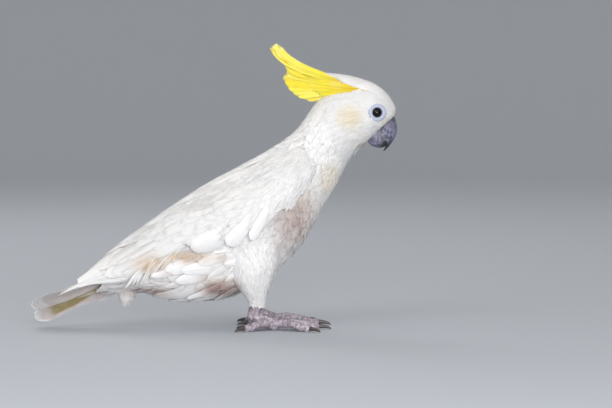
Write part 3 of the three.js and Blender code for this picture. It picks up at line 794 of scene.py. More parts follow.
def body_coat(rng):
    """Rings of overlapping feathers from the face back to the tail, left out under the wings, the
    thighs and round the eyes; long and loose on the belly. Returns the head's and the body's."""
    root, tip, size, half = ring_rows(SKIN, FACE - 0.05, 0.0, FEATHER_LENGTH, 0.34, 0.30, rng)
    belly = smooth(-np.cos(root[:, 1]), 0.1, 0.8) * smooth(4.6 - root[:, 0], 0, 1.2)
    # Belly feathers are up to 45% longer. The last rings end raggedly behind the tail root.
    more = 0.45 * belly
    tip[:, 0] -= more * (size * (1 + more)) / 1.45 / SKIN.scales(*root.T)[0]
    tip[:, 0] = np.maximum(tip[:, 0], -rng.uniform(0.35, 0.75, len(size)))
    # Feathers whose tips come near an eye are half as long, and the ones that still reach it go.
    near, outer = eye_distance(SKIN.point(*tip.T))
    short = (near < EYE_TIPS) & (outer > 0)
    tip = np.where(short[:, None], root + (tip - root) * 0.5, tip)
    ends = np.stack((SKIN.point(*root.T), SKIN.point(*tip.T)))
    far, outer = eye_distance(ends)
    keep = ~((far < EYE_CLEAR) & (outer > 0)).any(axis=0)
    # So do the ones whose roots and tips both lie under a wing or in a thigh.
    t, v = under_wing(ends)
    hidden = (t > 0.35) & (t < len(WING) - 1.2) & (v > 0.06) & (v < 0.86)
    keep &= ~hidden.all(axis=0) & ~in_thigh(ends).all(axis=0) & ~in_crest(ends[1])
    root, tip, half, belly = (x[keep] for x in (root, tip, half, belly))
    t, v, ends = t[:, keep], v[:, keep], ends[:, keep]
    # The mantle's feathers start ahead of the wing and lie over it: proud is how far its surface
    # stands out past theirs at their tips.
    mantle = (t[0] < 0.3) & (t[1] > 0.01) & (t[1] < 2.0) & (v[1] > -0.1) & (v[1] < 0.78)
    share = np.clip(v[1], 0, 1)
    proud = np.abs(wing_point(t[1], share)[:, 1]) - np.abs(ends[1][:, 1]) - tuck_in(t[1], share)
    aside = np.abs(SKIN.normal(*tip.T)[:, 1])
    proud = proud / np.maximum(aside, 0.6)
    mantle &= (aside > 0.6) & (proud < 1.1)
    depth = blend(COAT_DEPTH, root[:, 0])
    high = 0.05 * depth + rng.normal(0, 0.12, len(root)) * depth * (0.15 + belly)
    high = high + belly * rng.uniform(-0.5, 2.5, len(root))
    high = np.where(mantle, np.maximum(high, proud + 0.05), high)
    head = root[:, 0] > HEAD_START
    parts = []
    for some, fine in ((head, dict(rows=5, cols=4, thick=0.16)), (~head, dict(rows=7, thick=0.3))):
        loose, over = belly[some], mantle[some]
        n = len(loose)
        part = vanes(SKIN, root[some], tip[some], half[some] * (1 - 0.3 * loose),
                     -0.85 * depth[some], high[some], rng, blunt=1.0, taper=0.25 * loose,
                     cup=0.02 + 0.08 * loose, curl=loose * rng.normal(0, 1.6, n),
                     bow=loose * rng.normal(0, 4, n), rise=np.where(over, 0.8, 0.5), **fine)
        free = np.repeat(over, len(part["points"]) // n)[:, None]
        part["points"] = np.where(free, part["points"], tucked(part["points"]))
        parts.append(with_markings_and_shade(part))
    parts[0] = joined([parts[0], chin_tuft(rng)])
    parts[1] = joined([parts[1], *flank_plumes(rng), vent_tuft(rng), back_feathers(rng)])
    return parts


def in_crest(p):
    """Whether points lie on the wedge where the yellow plumes leave the head, and not within 4 mm
    of the midplane."""
    ends, high, low = CREST_BASE.T
    x, y, z = np.moveaxis(p, -1, 0)
    inside = (z > np.interp(x, ends, low)) & (z < np.interp(x, ends, high))
    return inside & (x < ends[-1]) & (np.abs(y) > 4)


def in_thigh(p):
    """Whether points lie inside a thigh's ovals, on either side."""
    station = np.interp(-p[..., 2], -THIGH[:, 0], np.arange(len(THIGH)))
    _, x, y, along, across = np.moveaxis(blend(THIGH, station), -1, 0)
    ahead = np.where(p[..., 1] > 0, lean(p[..., 2]), 0.0)
    off = np.hypot((p[..., 0] - x - ahead) / along, (np.abs(p[..., 1]) - y) / across)
    return (off < 0.96) & (p[..., 2] < THIGH[0, 0]) & (p[..., 2] > THIGH[-1, 0])


def on_body(x, z):
    """Station and turn of the body's surface on its right side, at places seen from the side."""
    t, v = under_wing(vec(x, 0 * x, z), BODY)
    widest = blend(BODY, t)[..., 5]
    cosine = np.where(v < widest, 1 - v / widest, -(v - widest) / (1 - widest))
    return vec(t, TWO_PI - np.arccos(np.clip(cosine, -1, 1)))


def side_plumes(places, rng, stain=0, shade=0, **more):
    """Plumes between places on the body's side, on both sides of the bird."""
    x, z, tip_x, tip_z, half, high, bow = places.T
    root, tip = on_body(x, z), on_body(tip_x, tip_z)
    right = vanes(SKIN, root, tip, half, -2.0, high, rng, bow=bow, **more)
    right["points"] = tucked(right["points"])
    right = with_markings_and_shade(right, stain, shade)
    return [right, mirrored(right)]


def flank_plumes(rng):
    """Loose feathers from the flanks back under the wings, in no strict order; the largest plumes
    over them; and fine strands behind and before the thigh."""
    n = 150
    t = rng.uniform(0.6, 3.9, n)
    turn = rng.uniform(1.75, TWO_PI - 1.75, n)
    size = rng.uniform(36, 54, n)
    tip = away(t, turn, size, rng.normal(0, 0.14, n), SKIN.scales(t, turn), -1)
    loose = vanes(SKIN, vec(t, turn), tip, rng.uniform(4.0, 7.0, n), -2.5,
                  rng.uniform(0.3, 3.0, n), rng, rows=9, cols=6, blunt=1.1, taper=0.5, cup=0.1,
                  curl=rng.normal(0, 1.2, n), bow=rng.normal(0, 3, n), thick=0.3, rise=0.7)
    loose["points"] = tucked(loose["points"])
    large = side_plumes(PLUMES, rng, rows=16, cols=9, blunt=0.9, taper=0.35, cup=0.14, curl=1.0,
                        thick=0.35, neck=0.4, full=0.5, rise=0.7)
    behind = strands(rng, 34, (26, 56, 8, 40), (3.5, 6, 7, 4), 1.1, 2.5)
    before = strands(rng, 26, (60, 92, 53, 58), (3.5, 8, 3.5, 8), 1.5, 2.0)
    fine = dict(rows=10, cols=3, blunt=1.0, taper=0.7, cup=0.1, thick=0.3, rise=0.7)
    # Painted shade at the plumes' roots, and on the strands behind and before the thigh.
    return [painted_root_shade(with_markings_and_shade(loose), 0.18), *(painted_root_shade(part, 0.36) for part in large),
            *side_plumes(behind, rng, stain=0.22, shade=0.45, **fine),
            *side_plumes(before, rng, shade=0.3, **fine)]


def painted_root_shade(part, dose):
    """Painted shade, grey and warm, at the feathers' roots, where others overlap them: fading from
    6 to 30 mm along.
    """
    near = 1 - smooth(part["vane"][:, 0], 6, 30)
    part["dye"] = part["dye"] + near[:, None] * np.array((0, 0.8, 1.0)) * dose
    return part


def strands(rng, n, middle, spread, half, high):
    """Rows for n strands whose root and tip lie round a middle pair of places."""
    ends = rng.normal(middle, np.array(spread) / 2, (n, 4))
    rest = vec(np.full(n, half), rng.uniform(0.3, high, n), rng.normal(0, 2.5, n))
    return np.concatenate((ends, rest), axis=1)


def vent_tuft(rng):
    """Rings of down round the tuft below the vent."""
    root, tip, size, half = ring_rows(TUFTS, 0.0, 1.7, np.full(2, 13.0), 0.10, 0.14, rng)
    tip = tip + vec(rng.uniform(-0.9, 0.5, len(size)), rng.normal(0, 0.25, len(size)))
    home = vec(0.02 + root[:, 0] / 40, (root[:, 1] % TWO_PI) / TWO_PI)
    part = vanes(TUFTS, root, tip, half, -1.5, rng.uniform(-0.8, 2.2, len(size)), rng, home,
                 rows=8, cols=3, blunt=1.0, taper=0.8, cup=0.1, thick=0.25,
                 bow=rng.normal(0, 2, len(size)))
    # The tuft gets a little stain and painted shade all over.
    return with_markings_and_shade(part, stain=0.06, shade=0.1)


def chin_tuft(rng):
    """Small feathers that stand out below the beak, stained by food, with painted shade below the
    beak.
    """
    n = 26
    t = rng.uniform(10.6, 12.3, n)
    turn = np.pi + rng.normal(0, 0.4, n)
    size = rng.uniform(8, 12, n)
    tip = vec(t - size / SKIN.scales(t, turn)[0], turn + rng.normal(0, 0.12, n))
    part = vanes(SKIN, vec(t, turn), tip, 1.3, -0.8, rng.uniform(0.3, 2.6, n), rng, cols=4,
                 blunt=1.0, taper=0.6, cup=0.1, thick=0.2, rise=0.9)
    return with_markings_and_shade(part, stain=0.06, shade=0.12)


def back_feathers(rng):
    """Long feathers along the back that lie over both wings' upper edges and close the line between
    them."""
    n = 118
    t = np.sort(np.concatenate((rng.uniform(1.4, 5.9, 90), rng.uniform(5.6, 6.9, 28))))
    middle = smooth(t, 5.5, 6.5)
    aside = rng.uniform(-0.7, 0.7, n) * (1 - 0.55 * middle)
    size = rng.uniform(36, 48, n)
    farthest = rng.uniform(6.2, 6.9, n) + rng.uniform(0.7, 1.4, n) * middle
    reach = np.minimum(t + size / RIDGE.scales(t, aside)[0], farthest)
    tip = vec(reach, aside + rng.normal(0, 0.1, n))
    part = vanes(RIDGE, vec(t, aside), tip, rng.uniform(5, 7, n) - middle, -0.8 - 1.2 * middle,
                 rng.normal(0.3, 0.1, n) - 2.2 * middle, rng, vec(t / 8, 0.5 + 0.4 * aside),
                 rows=9, cols=6, blunt=1.3, taper=0.35, cup=0.06, thick=0.2, rise=0.5)
    return with_markings_and_shade(part)


def with_markings_and_shade(part, stain=0, shade=0):
    """The part with its uneven colour marks and painted shade, and so much more stain and painted
    shade all over.
    """
    part["dye"] = markings_and_shade(part["points"])
    part = uneven(part)
    part["dye"] = part["dye"] + (0, stain, shade)
    return part


def uneven(part):
    """Stains and painted shade take on some feathers more than on others, stains least on their
    edges.
    """
    across, own = np.abs(part["vane"][:, 1]), part["vane"][:, 2]
    part["dye"][:, 1] *= (0.5 + own) * (1 - 0.4 * smooth(across, 1.5, 5.0))
    part["dye"][:, 2] *= 0.8 + 0.4 * ((own * 7) % 1)
    return part


def thigh_coat(rng):
    """Rings of feathers down the thigh, shorter towards the ankle, where a cuff of narrow ones
    hangs loose."""
    lengths = np.array([24, 23, 22, 21, 19, 16, 12, 8.5, 6.5])
    root, tip, _, half = ring_rows(THIGHS, 0.2, 7.2, lengths, 0.30, 0.22, rng)
    depth = thigh_depth(blend(THIGH, root[:, 0])[:, 4])
    high = 0.1 + rng.normal(0, 0.02, len(root)) * depth
    cuff = smooth(root[:, 0], 5.5, 7.5)
    tip = tip + vec(cuff * rng.normal(0.1, 0.4, len(root)), 0 * cuff)
    half = half * (1 - 0.35 * cuff)
    part = vanes(THIGHS, root, tip, half, -0.9 * depth, high, rng, thick=0.25, blunt=1.1,
                 taper=0.3 + 0.4 * cuff, cup=0.03, rise=0.45)
    part["points"] = tucked(part["points"])
    return with_markings_and_shade(part)


# Each tract of the wing's long feathers, from the first to the last: root (t, v), tip (t, v), half
# the width, and how high the root and the tip lie over the wing's surface.
PRIMARIES = np.array([
    (4.6, 0.92, 7.7, 0.93, 7.5, -4.0, -2.4),
    (4.2, 0.82, 8.35, 0.86, 7.5, -3.8, -2.1),
    (3.8, 0.70, 8.98, 0.80, 6.4, -3.6, -1.8),
    (3.6, 0.55, 8.65, 0.46, 6.4, -3.4, -1.5),
])
SECONDARIES = np.array([
    (2.4, 0.86, 5.15, 0.93, 12.5, -3.4, -1.6),
    (2.8, 0.76, 5.95, 0.90, 12.0, -3.1, -1.2),
    (3.1, 0.60, 6.75, 0.80, 11.5, -2.6, -0.8),
    (3.3, 0.42, 7.35, 0.62, 11.0, -2.2, -0.4),
])
TERTIALS = np.array([
    (3.0, 0.34, 6.6, 0.44, 13.0, -1.8, -0.2),
    (3.1, 0.22, 7.1, 0.36, 12.5, -1.6, 0.0),
    (3.2, 0.14, 7.5, 0.34, 11.0, -1.4, 0.2),
])
LOBES = np.array([
    (2.30, 0.62, 3.05, 0.98, 6.5, 0.2, 2.6),
    (2.70, 0.54, 3.75, 0.97, 9.5, -0.1, 2.4),
    (3.20, 0.46, 4.75, 0.955, 14.5, -0.4, 2.2),
])
CURLED = np.array([
    (5.1, 0.84, 5.65, 1.01, 2.6, -0.6, 0.8),
    (6.1, 0.76, 6.85, 1.05, 2.2, -0.6, 1.2),
])


def tract(table, count, rng, **more):
    """Feathers spread evenly between the first and last rows of a table, on the wing, each a little
    out of line and 0.09 mm over the one before."""
    row = blend(table, np.linspace(0, len(table) - 1, count))
    row = row + rng.normal(0, 1, row.shape) * (0.03, 0.008, 0.05, 0.012, 0.3, 0.08, 0.12)
    step = 0.09 * np.arange(count)
    home, patch = cells(count)
    return vanes(WINGS, row[:, 0:2], row[:, 2:4], row[:, 4], row[:, 5] + step / count,
                 row[:, 6] + step, rng, home, patch, rows=18, cols=7, thick=0.4, neck=0.5, full=0.3,
                 **more)


def wing_lining(_):
    """A thin closed panel below the feathers, from edge to edge and nearly to the tip. It draws
    nothing at random."""
    t, v = np.broadcast_arrays(np.linspace(0.5, 8.2, 50)[:, None], np.linspace(0.04, 0.96, 20))
    sunk = -blend(WING_THICK, t) * 0.75
    outer, inner = WINGS.raised(t, v, sunk), WINGS.raised(t, v, sunk - 0.8)
    ids = np.arange(t.size).reshape(t.shape)
    under = ids + t.size
    rim = np.concatenate((ids[:, 0], ids[-1, 1:], ids[-2::-1, -1], ids[0, -2:0:-1]))
    rim = np.append(rim, rim[0])
    edge = vec(rim[:-1] + t.size, rim[1:] + t.size, rim[1:], rim[:-1])
    quads = np.concatenate((grid_quads(ids), grid_quads(under)[:, ::-1], edge))
    points = np.concatenate((outer.reshape(-1, 3), inner.reshape(-1, 3)))
    return {"points": points, "quads": quads, "dye": np.zeros_like(points)}


def wing_stain_and_shade(part):
    """Cream stain along the lower edge behind the thigh, fading forward and back, and painted warm
    shade in the gap below the lobes.
    """
    part["dye"] = vec(0, spots(part["points"], WING_STAINS_AND_SHADE), 0)
    return uneven(part)


def flight_feathers(rng):
    """The wing's primaries, secondaries and tertials, each over the one before."""
    parts = [
        tract(PRIMARIES, 9, rng, blunt=1.5, taper=0.25, cup=0.05),
        tract(SECONDARIES, 10, rng, blunt=0.8, cup=0.07),
        tract(TERTIALS, 4, rng, blunt=1.0, cup=0.05),
    ]
    return joined([wing_stain_and_shade(part) for part in parts])


def tuck_in(t, v):
    """How deep feathers at the wing's bend, and along the front of its upper edge, sink under the
    neck's."""
    bend, front = 1 - smooth(t, 0.1, 1.2), (1 - smooth(v, 0.02, 0.14)) * (1 - smooth(t, 2.0, 3.2))
    return 2.8 * bend + 1.6 * front


def wing_coverts(rng):
    """Rows of covert feathers from the bend back, longer row by row, then the rounded lobes that
    hang at the lower edge and the loose curled ones behind them."""
    lengths = np.array([10, 15, 24, 36, 46, 52.0])
    rows = [0.0]
    while rows[-1] < 4.3:
        rows.append(rows[-1] + 0.24 * float(blend(lengths, rows[-1])) / 34)
    rows = np.array(rows)
    wide = WINGS.scales(rows, 0 * rows + 0.5)[1]
    share = 0.25
    count = np.round(wide / (SPACING * share * blend(lengths, rows))).astype(int) + 1
    row, place = staggered(count)
    v = (place + 0.5 * (row % 2) + rng.uniform(-0.2, 0.2, len(row))) / (count[row] - 0.5) * 0.96
    t = rows[row] + rng.uniform(-0.06, 0.06, len(row))
    size = blend(lengths, t) * rng.uniform(0.9, 1.12, len(row))
    aim = 0.10 + rng.normal(0, 0.06, len(row)) + 0.25 * smooth(v, 0.4, 1.0)
    root, tip = vec(t, v), away(t, v, size, aim, WINGS.scales(t, v))
    keep = (tip[:, 1] < 0.98) & (root[:, 1] < 0.94)
    keep &= (t < 1.6) | (tip[:, 1] < 0.9 - 0.06 * (t - 1.6))
    root, tip, size, t = root[keep], tip[keep], size[keep], t[keep]
    sunk = tuck_in(t, root[:, 1]) * (1 - smooth(root[:, 1], 0.6, 0.8))
    high = 0.35 + rng.normal(0, 0.03, len(root)) - sunk
    parts = [vanes(WINGS, root, tip, share * size, -1.2 - sunk, high, rng, root / (6, 1), rows=8,
                   cols=5, thick=0.2, blunt=1.2, taper=0.25, cup=0.02, rise=0.5)]
    for table, count, more in (
        (LOBES, 3, dict(blunt=0.7, cup=0.16, bow=-3.0)),
        (CURLED, 14, dict(blunt=1.2, cup=0.2, bow=5.0, curl=2.0, taper=0.6)),
    ):
        row = blend(table, np.linspace(0, len(table) - 1, count))
        jitter = rng.normal(0, 1, row.shape) * (0.09, 0.03, 0.13, 0.03, 0.8, 0.1, 0.7)
        row = row + (table is CURLED) * jitter
        parts.append(vanes(WINGS, row[:, 0:2], row[:, 2:4], row[:, 4], row[:, 5], row[:, 6], rng,
                           row[:, 0:2] / (6, 1), rows=12, cols=7, thick=0.6, neck=0.6, full=0.4,
                           **more))
    return joined([wing_stain_and_shade(part) for part in parts])


def scapulars(rng):
    """Long soft feathers from the shoulder back over the wing's upper edge."""
    n = 110
    t = np.sort(rng.uniform(0.3, 5.4, n))
    v = rng.uniform(0.03, 0.27, n) * (1 - 0.3 * smooth(t, 2, 5))
    size = blend(np.array([24, 32, 42, 50, 54, 54, 48.0]), t) * rng.uniform(0.9, 1.1, n)
    tip = away(t, v, size, rng.normal(0.04, 0.07, n), WINGS.scales(t, v))
    sunk = tuck_in(t, v)
    high = 0.55 + 0.05 * rng.standard_normal(n) - sunk
    part = vanes(WINGS, vec(t, v), tip, 0.2 * size, -1.2 - sunk, high, rng, vec(t / 6, v + 0.1),
                 rows=10, cols=6, thick=0.2, blunt=1.3, taper=0.3, cup=0.02, rise=0.5)
    return wing_stain_and_shade(part)


def tail_feathers(rng):
    """Twelve broad feathers, the middle pair on top, and the coverts above and below their roots.
    The tail feathers' under faces are yellow between their whitish edges and tips, and carry
    painted shade, less in the yellow band; the coverts below carry painted shade too."""
    order = np.array([5, 4, 3, 2, 1, 0])
    u = np.array([0.06, 0.18, 0.31, 0.44, 0.57, 0.68])
    aside = np.concatenate((1.15 * u[order], -u[order]))
    reach = np.array([1.045, 1.05, 1.035, 1.025, 0.975, 0.98, 0.94, 0.975, 0.99, 1.01, 0.995, 0.98])
    step = -0.55 * np.concatenate((order, order))
    rows, cols = 20, 15
    part = vanes(TAILS, vec(-0.12, 0.25 * aside), vec(reach, aside), 9.5, step - 0.2, step + 0.8,
                 rng, *cells(12), rows=rows, cols=cols, thick=0.4, neck=0.5, full=0.5, blunt=0.9,
                 taper=0.2, cup=0.1)
    count = len(part["points"]) // 12
    vertex = np.arange(len(part["points"])) % count
    edge = (vertex < rows * cols) & np.isin(vertex % cols, (0, cols - 1))
    below = np.where(vertex >= rows * cols, 1.0, 0.8 * edge)
    along, across = part["vane"][:, 0], part["vane"][:, 1]
    left = np.repeat(aside * TAIL_LEFT[-1], count) + across
    # The yellow runs from first to last, in millimetres left of the axis, and both of these go by
    # the distance from the root.
    first = 10 * smooth(along, 93, 114) - 6
    last = 9 * smooth(along, 40, 88) + 9
    band = smooth(left - first, 0, 2) * (1 - smooth(left - last, 0, 2))
    band = band * (1 - smooth(along, 106, 116))
    yellow = (0.06 + 1.1 * below) * band * (1 - 0.2 * part["vane"][:, 2])
    # The under faces get painted shade, less within the yellow band.
    part["dye"] = vec(yellow, 0.1 * band, 0.6 * (1 - 0.5 * band) * below)
    # The coverts below the tail get painted shade.
    return joined([part, tail_coverts(rng, TAILS, 60, 0.8),
                   tail_coverts(rng, Surface(tail_point), 150, 2.6, stain=0.05, shade=0.25)])


def tail_coverts(rng, surface, n, high, **extra):
    """Soft feathers over the root of the tail, on one of its faces."""
    f = rng.uniform(-0.22, 0.26, n)
    u = rng.uniform(-0.85, 1.0, n)
    size = rng.uniform(34, 52, n) * (1 - 0.3 * smooth(f, 0, 0.3))
    along = surface.scales(np.full(n, 0.4), 0 * u)[0]
    limit = rng.uniform(0.22, 0.30, n) + 0.20 * smooth(u, 0.05, 0.5)
    tip = vec(np.minimum(f + size / along, limit), u * rng.uniform(0.8, 1.1, n))
    lift = high * rng.uniform(0.2, 1.0, n)
    part = vanes(surface, vec(f, u), tip, rng.uniform(6, 8.5, n), -0.3, lift, rng,
                 vec(0.3 + f, 0.5 + 0.45 * u), rows=7, cols=5, thick=0.35, blunt=1.2, taper=0.4,
                 cup=0.08, rise=0.8)
    return with_markings_and_shade(part, **extra)


def crown_point(a, b):
    """The white cap over the crest's base. From the midline's profile it falls to each side as a
    quarter oval, of b = 1 at its lower edge, which runs along the top of the yellow plumes."""
    r = blend(CAP, np.asarray(a) * (len(CAP) - 1))
    turn = np.asarray(b) * np.pi / 2
    across, fall = np.sin(turn), 1 - np.cos(turn)
    x = r[..., 0] + (r[..., 2] - r[..., 0]) * fall
    z = r[..., 1] + (r[..., 3] - r[..., 1]) * fall
    return vec(x, -r[..., 4] * across, z)


CROWN = Surface(crown_point)


def crown_feathers(rng):
    """White feathers from the forehead back over the base of the crest."""
    n = 420
    a = rng.uniform(0.06, 0.72, n)
    b = rng.uniform(-1, 1, n)
    size = blend(np.array([6, 9, 14, 21, 27, 30.0]), a / 0.72 * 5) * rng.uniform(0.85, 1.1, n)
    reach = a + size / CROWN.scales(a, b)[0]
    reach = np.minimum(reach, 1.0 + rng.uniform(-0.06, 0.02, n))
    tip = vec(reach, b * rng.uniform(0.88, 1.0, n))
    sunk = (1.4 * (1 - smooth(reach, 0.12, 0.36))
            + 1.2 * smooth(np.abs(b), 0.7, 1.0) * (1 - smooth(reach, 0.3, 0.6)))
    part = vanes(CROWN, vec(a, b), tip, np.clip(0.22 * size, 1.4, 3.6), -1.6 - sunk,
                 rng.normal(0.1, 0.12, n) - sunk, rng, vec(0.1 + a, 0.5 + 0.45 * b), rows=8, cols=5,
                 thick=0.25, blunt=1.3, taper=0.4, cup=0.05, rise=0.6)
    return with_markings_and_shade(part)


def crest_wisps(rng):
    """Loose barbs that stand out from the crest's upper and lower edges and its tips."""
    n = 26
    low = np.arange(n) % 2 > 0
    b = np.where(low, rng.uniform(0.86, 1.0, n), rng.uniform(0.0, 0.5, n))
    a = rng.uniform(0.3, 0.7, n)
    tip = vec(rng.uniform(0.92, 1.06, n), b + rng.normal(0, 0.02, n))
    return vanes(CRESTS, vec(a, b), tip, rng.uniform(0.35, 0.8, n), 0, rng.uniform(0, 3, n), rng,
                 *cells(n), rows=14, cols=3, blunt=1.0, taper=0.7, cup=0.1, thick=0.2,
                 bow=rng.normal(0, 3.5, n))


def crest_plumes(rng):
    """Long yellow plumes that curve back and up, in order from the top one down, on both sides.
    They are gold over their first 42 mm and pale from 88 to 130 mm, some more than others."""
    sides = []
    for _, turned in SIDES:
        row = np.array([0, 0.3, 0.75, 1.0, 2.0, 2.25, 2.6, 2.9, 3.2, 3.5, 3.8, 4.15, 4.5, 4.9, 5.3,
                        5.65, 6.0])
        n = len(row)
        b = (row + rng.normal(0, 0.05, n)) / 6
        top = row < 1.5
        root = vec(rng.uniform(0.0, 0.06, n), b)
        reach = 1.0 + rng.normal(-0.02, 0.03, n)
        half = np.where(top, 5.0, 5.2 - 0.25 * row) + rng.normal(0, 0.3, n)
        high = np.where(top, rng.uniform(0.0, 2.0, n), rng.uniform(0.3, 6.0, n))
        tip = vec(reach, b + rng.normal(0, 0.004, n))
        part = vanes(CRESTS, root, tip, half, 0, high, rng, *cells(n), rows=20, cols=7, neck=0.5,
                     full=0.4, blunt=1.2, taper=np.where(top, 0.15, 0.4), cup=0.4, thick=0.4,
                     bow=rng.normal(0, 0.8, n))
        part = joined([part, crest_wisps(rng)])
        along, own = part["vane"][:, 0], part["vane"][:, 2]
        gold = 0.55 * (1 - smooth(along, 0, 42)) + 0.30 * own
        pale = 0.75 * smooth(along, 88, 130) + 0.25 * (1 - own) * smooth(along, 30, 80)
        part["dye"] = vec(1.0, gold, pale)
        sides.append(turned(part))
    return joined(sides)


def beak_half(table, rows, cols, keel, flat, slim=1.0):
    """Rings between the outer and inner points: cos(turn) of the way from the middle to the outer
    point and half sin(turn) aside, drawn in by keel at the outer ridge and filled out by flat
    towards the inner side, where the cutting edges are. Its dye holds how near a point is to the
    cutting edges and how far it is along the table."""
    last = len(table) - 1.0
    t, turn = rings(np.linspace(0, last, rows), cols)
    r = blend(table, t)
    outer, inner, half = r[..., 0:2], r[..., 2:4], slim * np.maximum(r[..., 4], 0.3)
    cosine, sine = np.cos(turn), np.sin(turn)
    xz = (outer + inner) / 2 + (outer - inner) / 2 * cosine[..., None]
    aside = np.sign(sine) * np.abs(sine) ** (1 - flat * smooth(-cosine, -0.1, 0.9))
    aside = aside * (1 - keel * smooth(cosine, 0.2, 1.0))
    edge = smooth(-cosine, 0.78, 0.96)
    return shell(vec(xz[..., 0], half * aside, xz[..., 1]), vec(edge, t / last, 0))


def eye_place(out, far, turn):
    """Points out along the eye's axis, and far from it at turn, counted from ahead to up."""
    ahead, up = far * np.cos(turn), far * np.sin(turn)
    return EYE + out[..., None] * AXIS + ahead[..., None] * AHEAD + up[..., None] * UP


def eyeball():
    """A ball with a cornea that bulges by 3% as a bell curve round the axis. Its dye holds the
    distance from the axis in millimetres on the outer half."""
    polar, turn = rings(np.linspace(0.02, np.pi - 0.02, 60), 64)
    radius = EYEBALL * (1 + 0.03 * np.exp(-((polar / 0.5) ** 2)))
    far = np.where(polar < np.pi / 2, EYEBALL * np.sin(polar), 2 * EYEBALL)
    return shell(eye_place(radius * np.cos(polar), radius * np.sin(polar), turn), vec(far, 0, 0))


def eye_ring():
    """The bare ring: a closed profile turned about the axis. Its lid margin is beaded by
    cos(34 turn), and its skin has low folds, where a sine outwards meets a sine round it. Its dye
    holds the margin and the folds."""
    # Distance from the axis and height along it.
    profile = np.array([
        (4.95, 2.9), (4.95, 3.5), (5.1, 4.1), (5.45, 4.45), (5.85, 4.35), (6.2, 4.4), (6.8, 4.65),
        (7.5, 4.65), (8.3, 4.35), (9.0, 3.8), (9.6, 3.0), (9.2, 2.2), (7.4, 1.8), (5.7, 2.2),
    ])
    around = np.concatenate((profile, profile[:1]))
    where = np.linspace(0, len(profile), 90, endpoint=False)
    ring = blend(around, where)
    s, turn = rings(where, 180)
    far, out = (ring[:, k, None] + 0 * s for k in (0, 1))
    seen = smooth(s, 1, 2) * (1 - smooth(s, 9, 10.5))
    margin = np.exp(-(((far - 5.35) / 0.38) ** 2)) * seen
    out += margin * 0.16 * np.cos(34 * turn)
    fold = np.sin(far * 5.2 + 0.8 * np.sin(5 * turn)) * np.sin(17 * turn + 2.2 * far)
    out += 0.10 * fold * seen * (1 - margin)
    far = far * (1 + 0.025 * np.cos(2 * turn) * smooth(far, 6, 9))
    ids = ring_ids(*s.shape)
    ids = np.concatenate((ids, ids[:1]))
    dye = vec(margin * (0.75 + 0.25 * np.cos(34 * turn)), fold * seen, 0)
    return {"points": eye_place(out, far, turn).reshape(-1, 3), "quads": grid_quads(ids),
            "dye": dye.reshape(-1, 3)}


def pipe(line, radii, cols, skin=None, wide=1.0, tall=1.0):
    """A closed tube round a line of points. skin(length along it, turn) is how far its surface
    stands proud; turn 0 is level and a quarter turn is up."""
    way = unit(np.gradient(line, axis=0))
    side = vec(-way[:, 1], way[:, 0], 0)
    side = unit(np.where(np.linalg.norm(side, axis=-1, keepdims=True) < 0.05, (0, 1.0, 0), side))
    rise = np.cross(way, side)
    run = np.concatenate(([0], np.cumsum(np.linalg.norm(np.diff(line, axis=0), axis=-1))))
    run, turn = rings(run, cols)
    radius = radii[:, None] + (skin(run, turn) if skin else 0)
    points = line[:, None] + (radius * wide * np.cos(turn))[..., None] * side[:, None]
    points = points + (radius * tall * np.sin(turn))[..., None] * rise[:, None]
    return shell(points)


def toe_line(toe, f):
    """The toe's middle line leaves the palm, arches over its joints by half a sine and sinks to its
    pad as (1 - f)^1.6, and the way that it points. It lies 0.88 radii above the ground."""
    angle, length, radius, arch, _ = toe
    low = 0.88 * radius * (1 - 0.2 * f)
    drop = (PALM[2] - low) * (1 - f) ** 1.6
    rise = arch * np.sin(np.pi * np.minimum(1, f / 0.8))
    way = np.array((math.cos(math.radians(angle)), -math.sin(math.radians(angle)), 0))
    line = PALM + way * (length * f)[:, None]
    line[:, 2] = low + drop + rise
    return line, way


def scutes(run, turn):
    """Plates across the top 4.2 mm apart, as the root of a sine, pebbles on the sides, as a product
    of sines, and swollen pads beneath, 6.5 mm apart."""
    top, under = smooth(np.sin(turn), -0.1, 0.5), smooth(-np.sin(turn), 0.0, 0.6)
    plates = np.abs(np.sin(np.pi * run / 4.2)) ** 0.5 - 0.6
    pebbles = np.sin(7 * turn) * np.sin(TWO_PI * run / 2.6 + 2 * np.sin(turn * 3))
    pads = np.abs(np.sin(np.pi * run / 6.5)) ** 0.6 - 0.6
    return 0.60 * plates * top + 0.28 * pebbles * (1 - top) + 0.8 * pads * under


def foot_parts():
    """The right foot: shank, heel, palm and toes as overlapping tubes and balls. Knuckles swell a
    toe by 10% in three waves, and its end is rounded over its last 7%."""
    ankle = np.array((45.0, -25.0, 25.5))
    middle = (HEEL + PALM) / 2 + (0, 0, 1)
    knots = np.array([ankle, (HEEL + ankle) / 2 + (-0.6, 0, 0), HEEL, middle, PALM])
    at = np.linspace(0, 4, 70)
    line = blend(knots, at)
    radii = blend(np.array([5.0, 5.0, 6.3, 5.4, 6.4]), at)
    parts = [pipe(line, radii, 40, scutes)]
    for toe in TOES.values():
        f = np.linspace(0, 1, 90)
        line, _ = toe_line(toe, f)
        knuckle = 0.10 * np.cos(f * 3 * TWO_PI) * smooth(f, 0.1, 0.3) * (1 - smooth(f, 0.9, 1.0))
        end = np.sqrt(np.clip(1 - (np.clip(f - 0.93, 0, 1) / 0.07) ** 2 * 0.75, 0.1, 1))
        parts.append(pipe(line, toe[2] * (1 - 0.2 * f) * (1 + knuckle) * end, 32, scutes))
    for centre, radius in ((HEEL, 6.2), (PALM, 6.9), (PALM + (-4, 0, 0.6), 6.6)):
        polar, turn = rings(np.linspace(0.03, np.pi - 0.03, 24), 32)
        sine = np.sin(polar)
        ball = vec(sine * np.cos(turn), sine * np.sin(turn), np.cos(polar))
        parts.append(shell(centre + radius * ball))
    return joined(parts)


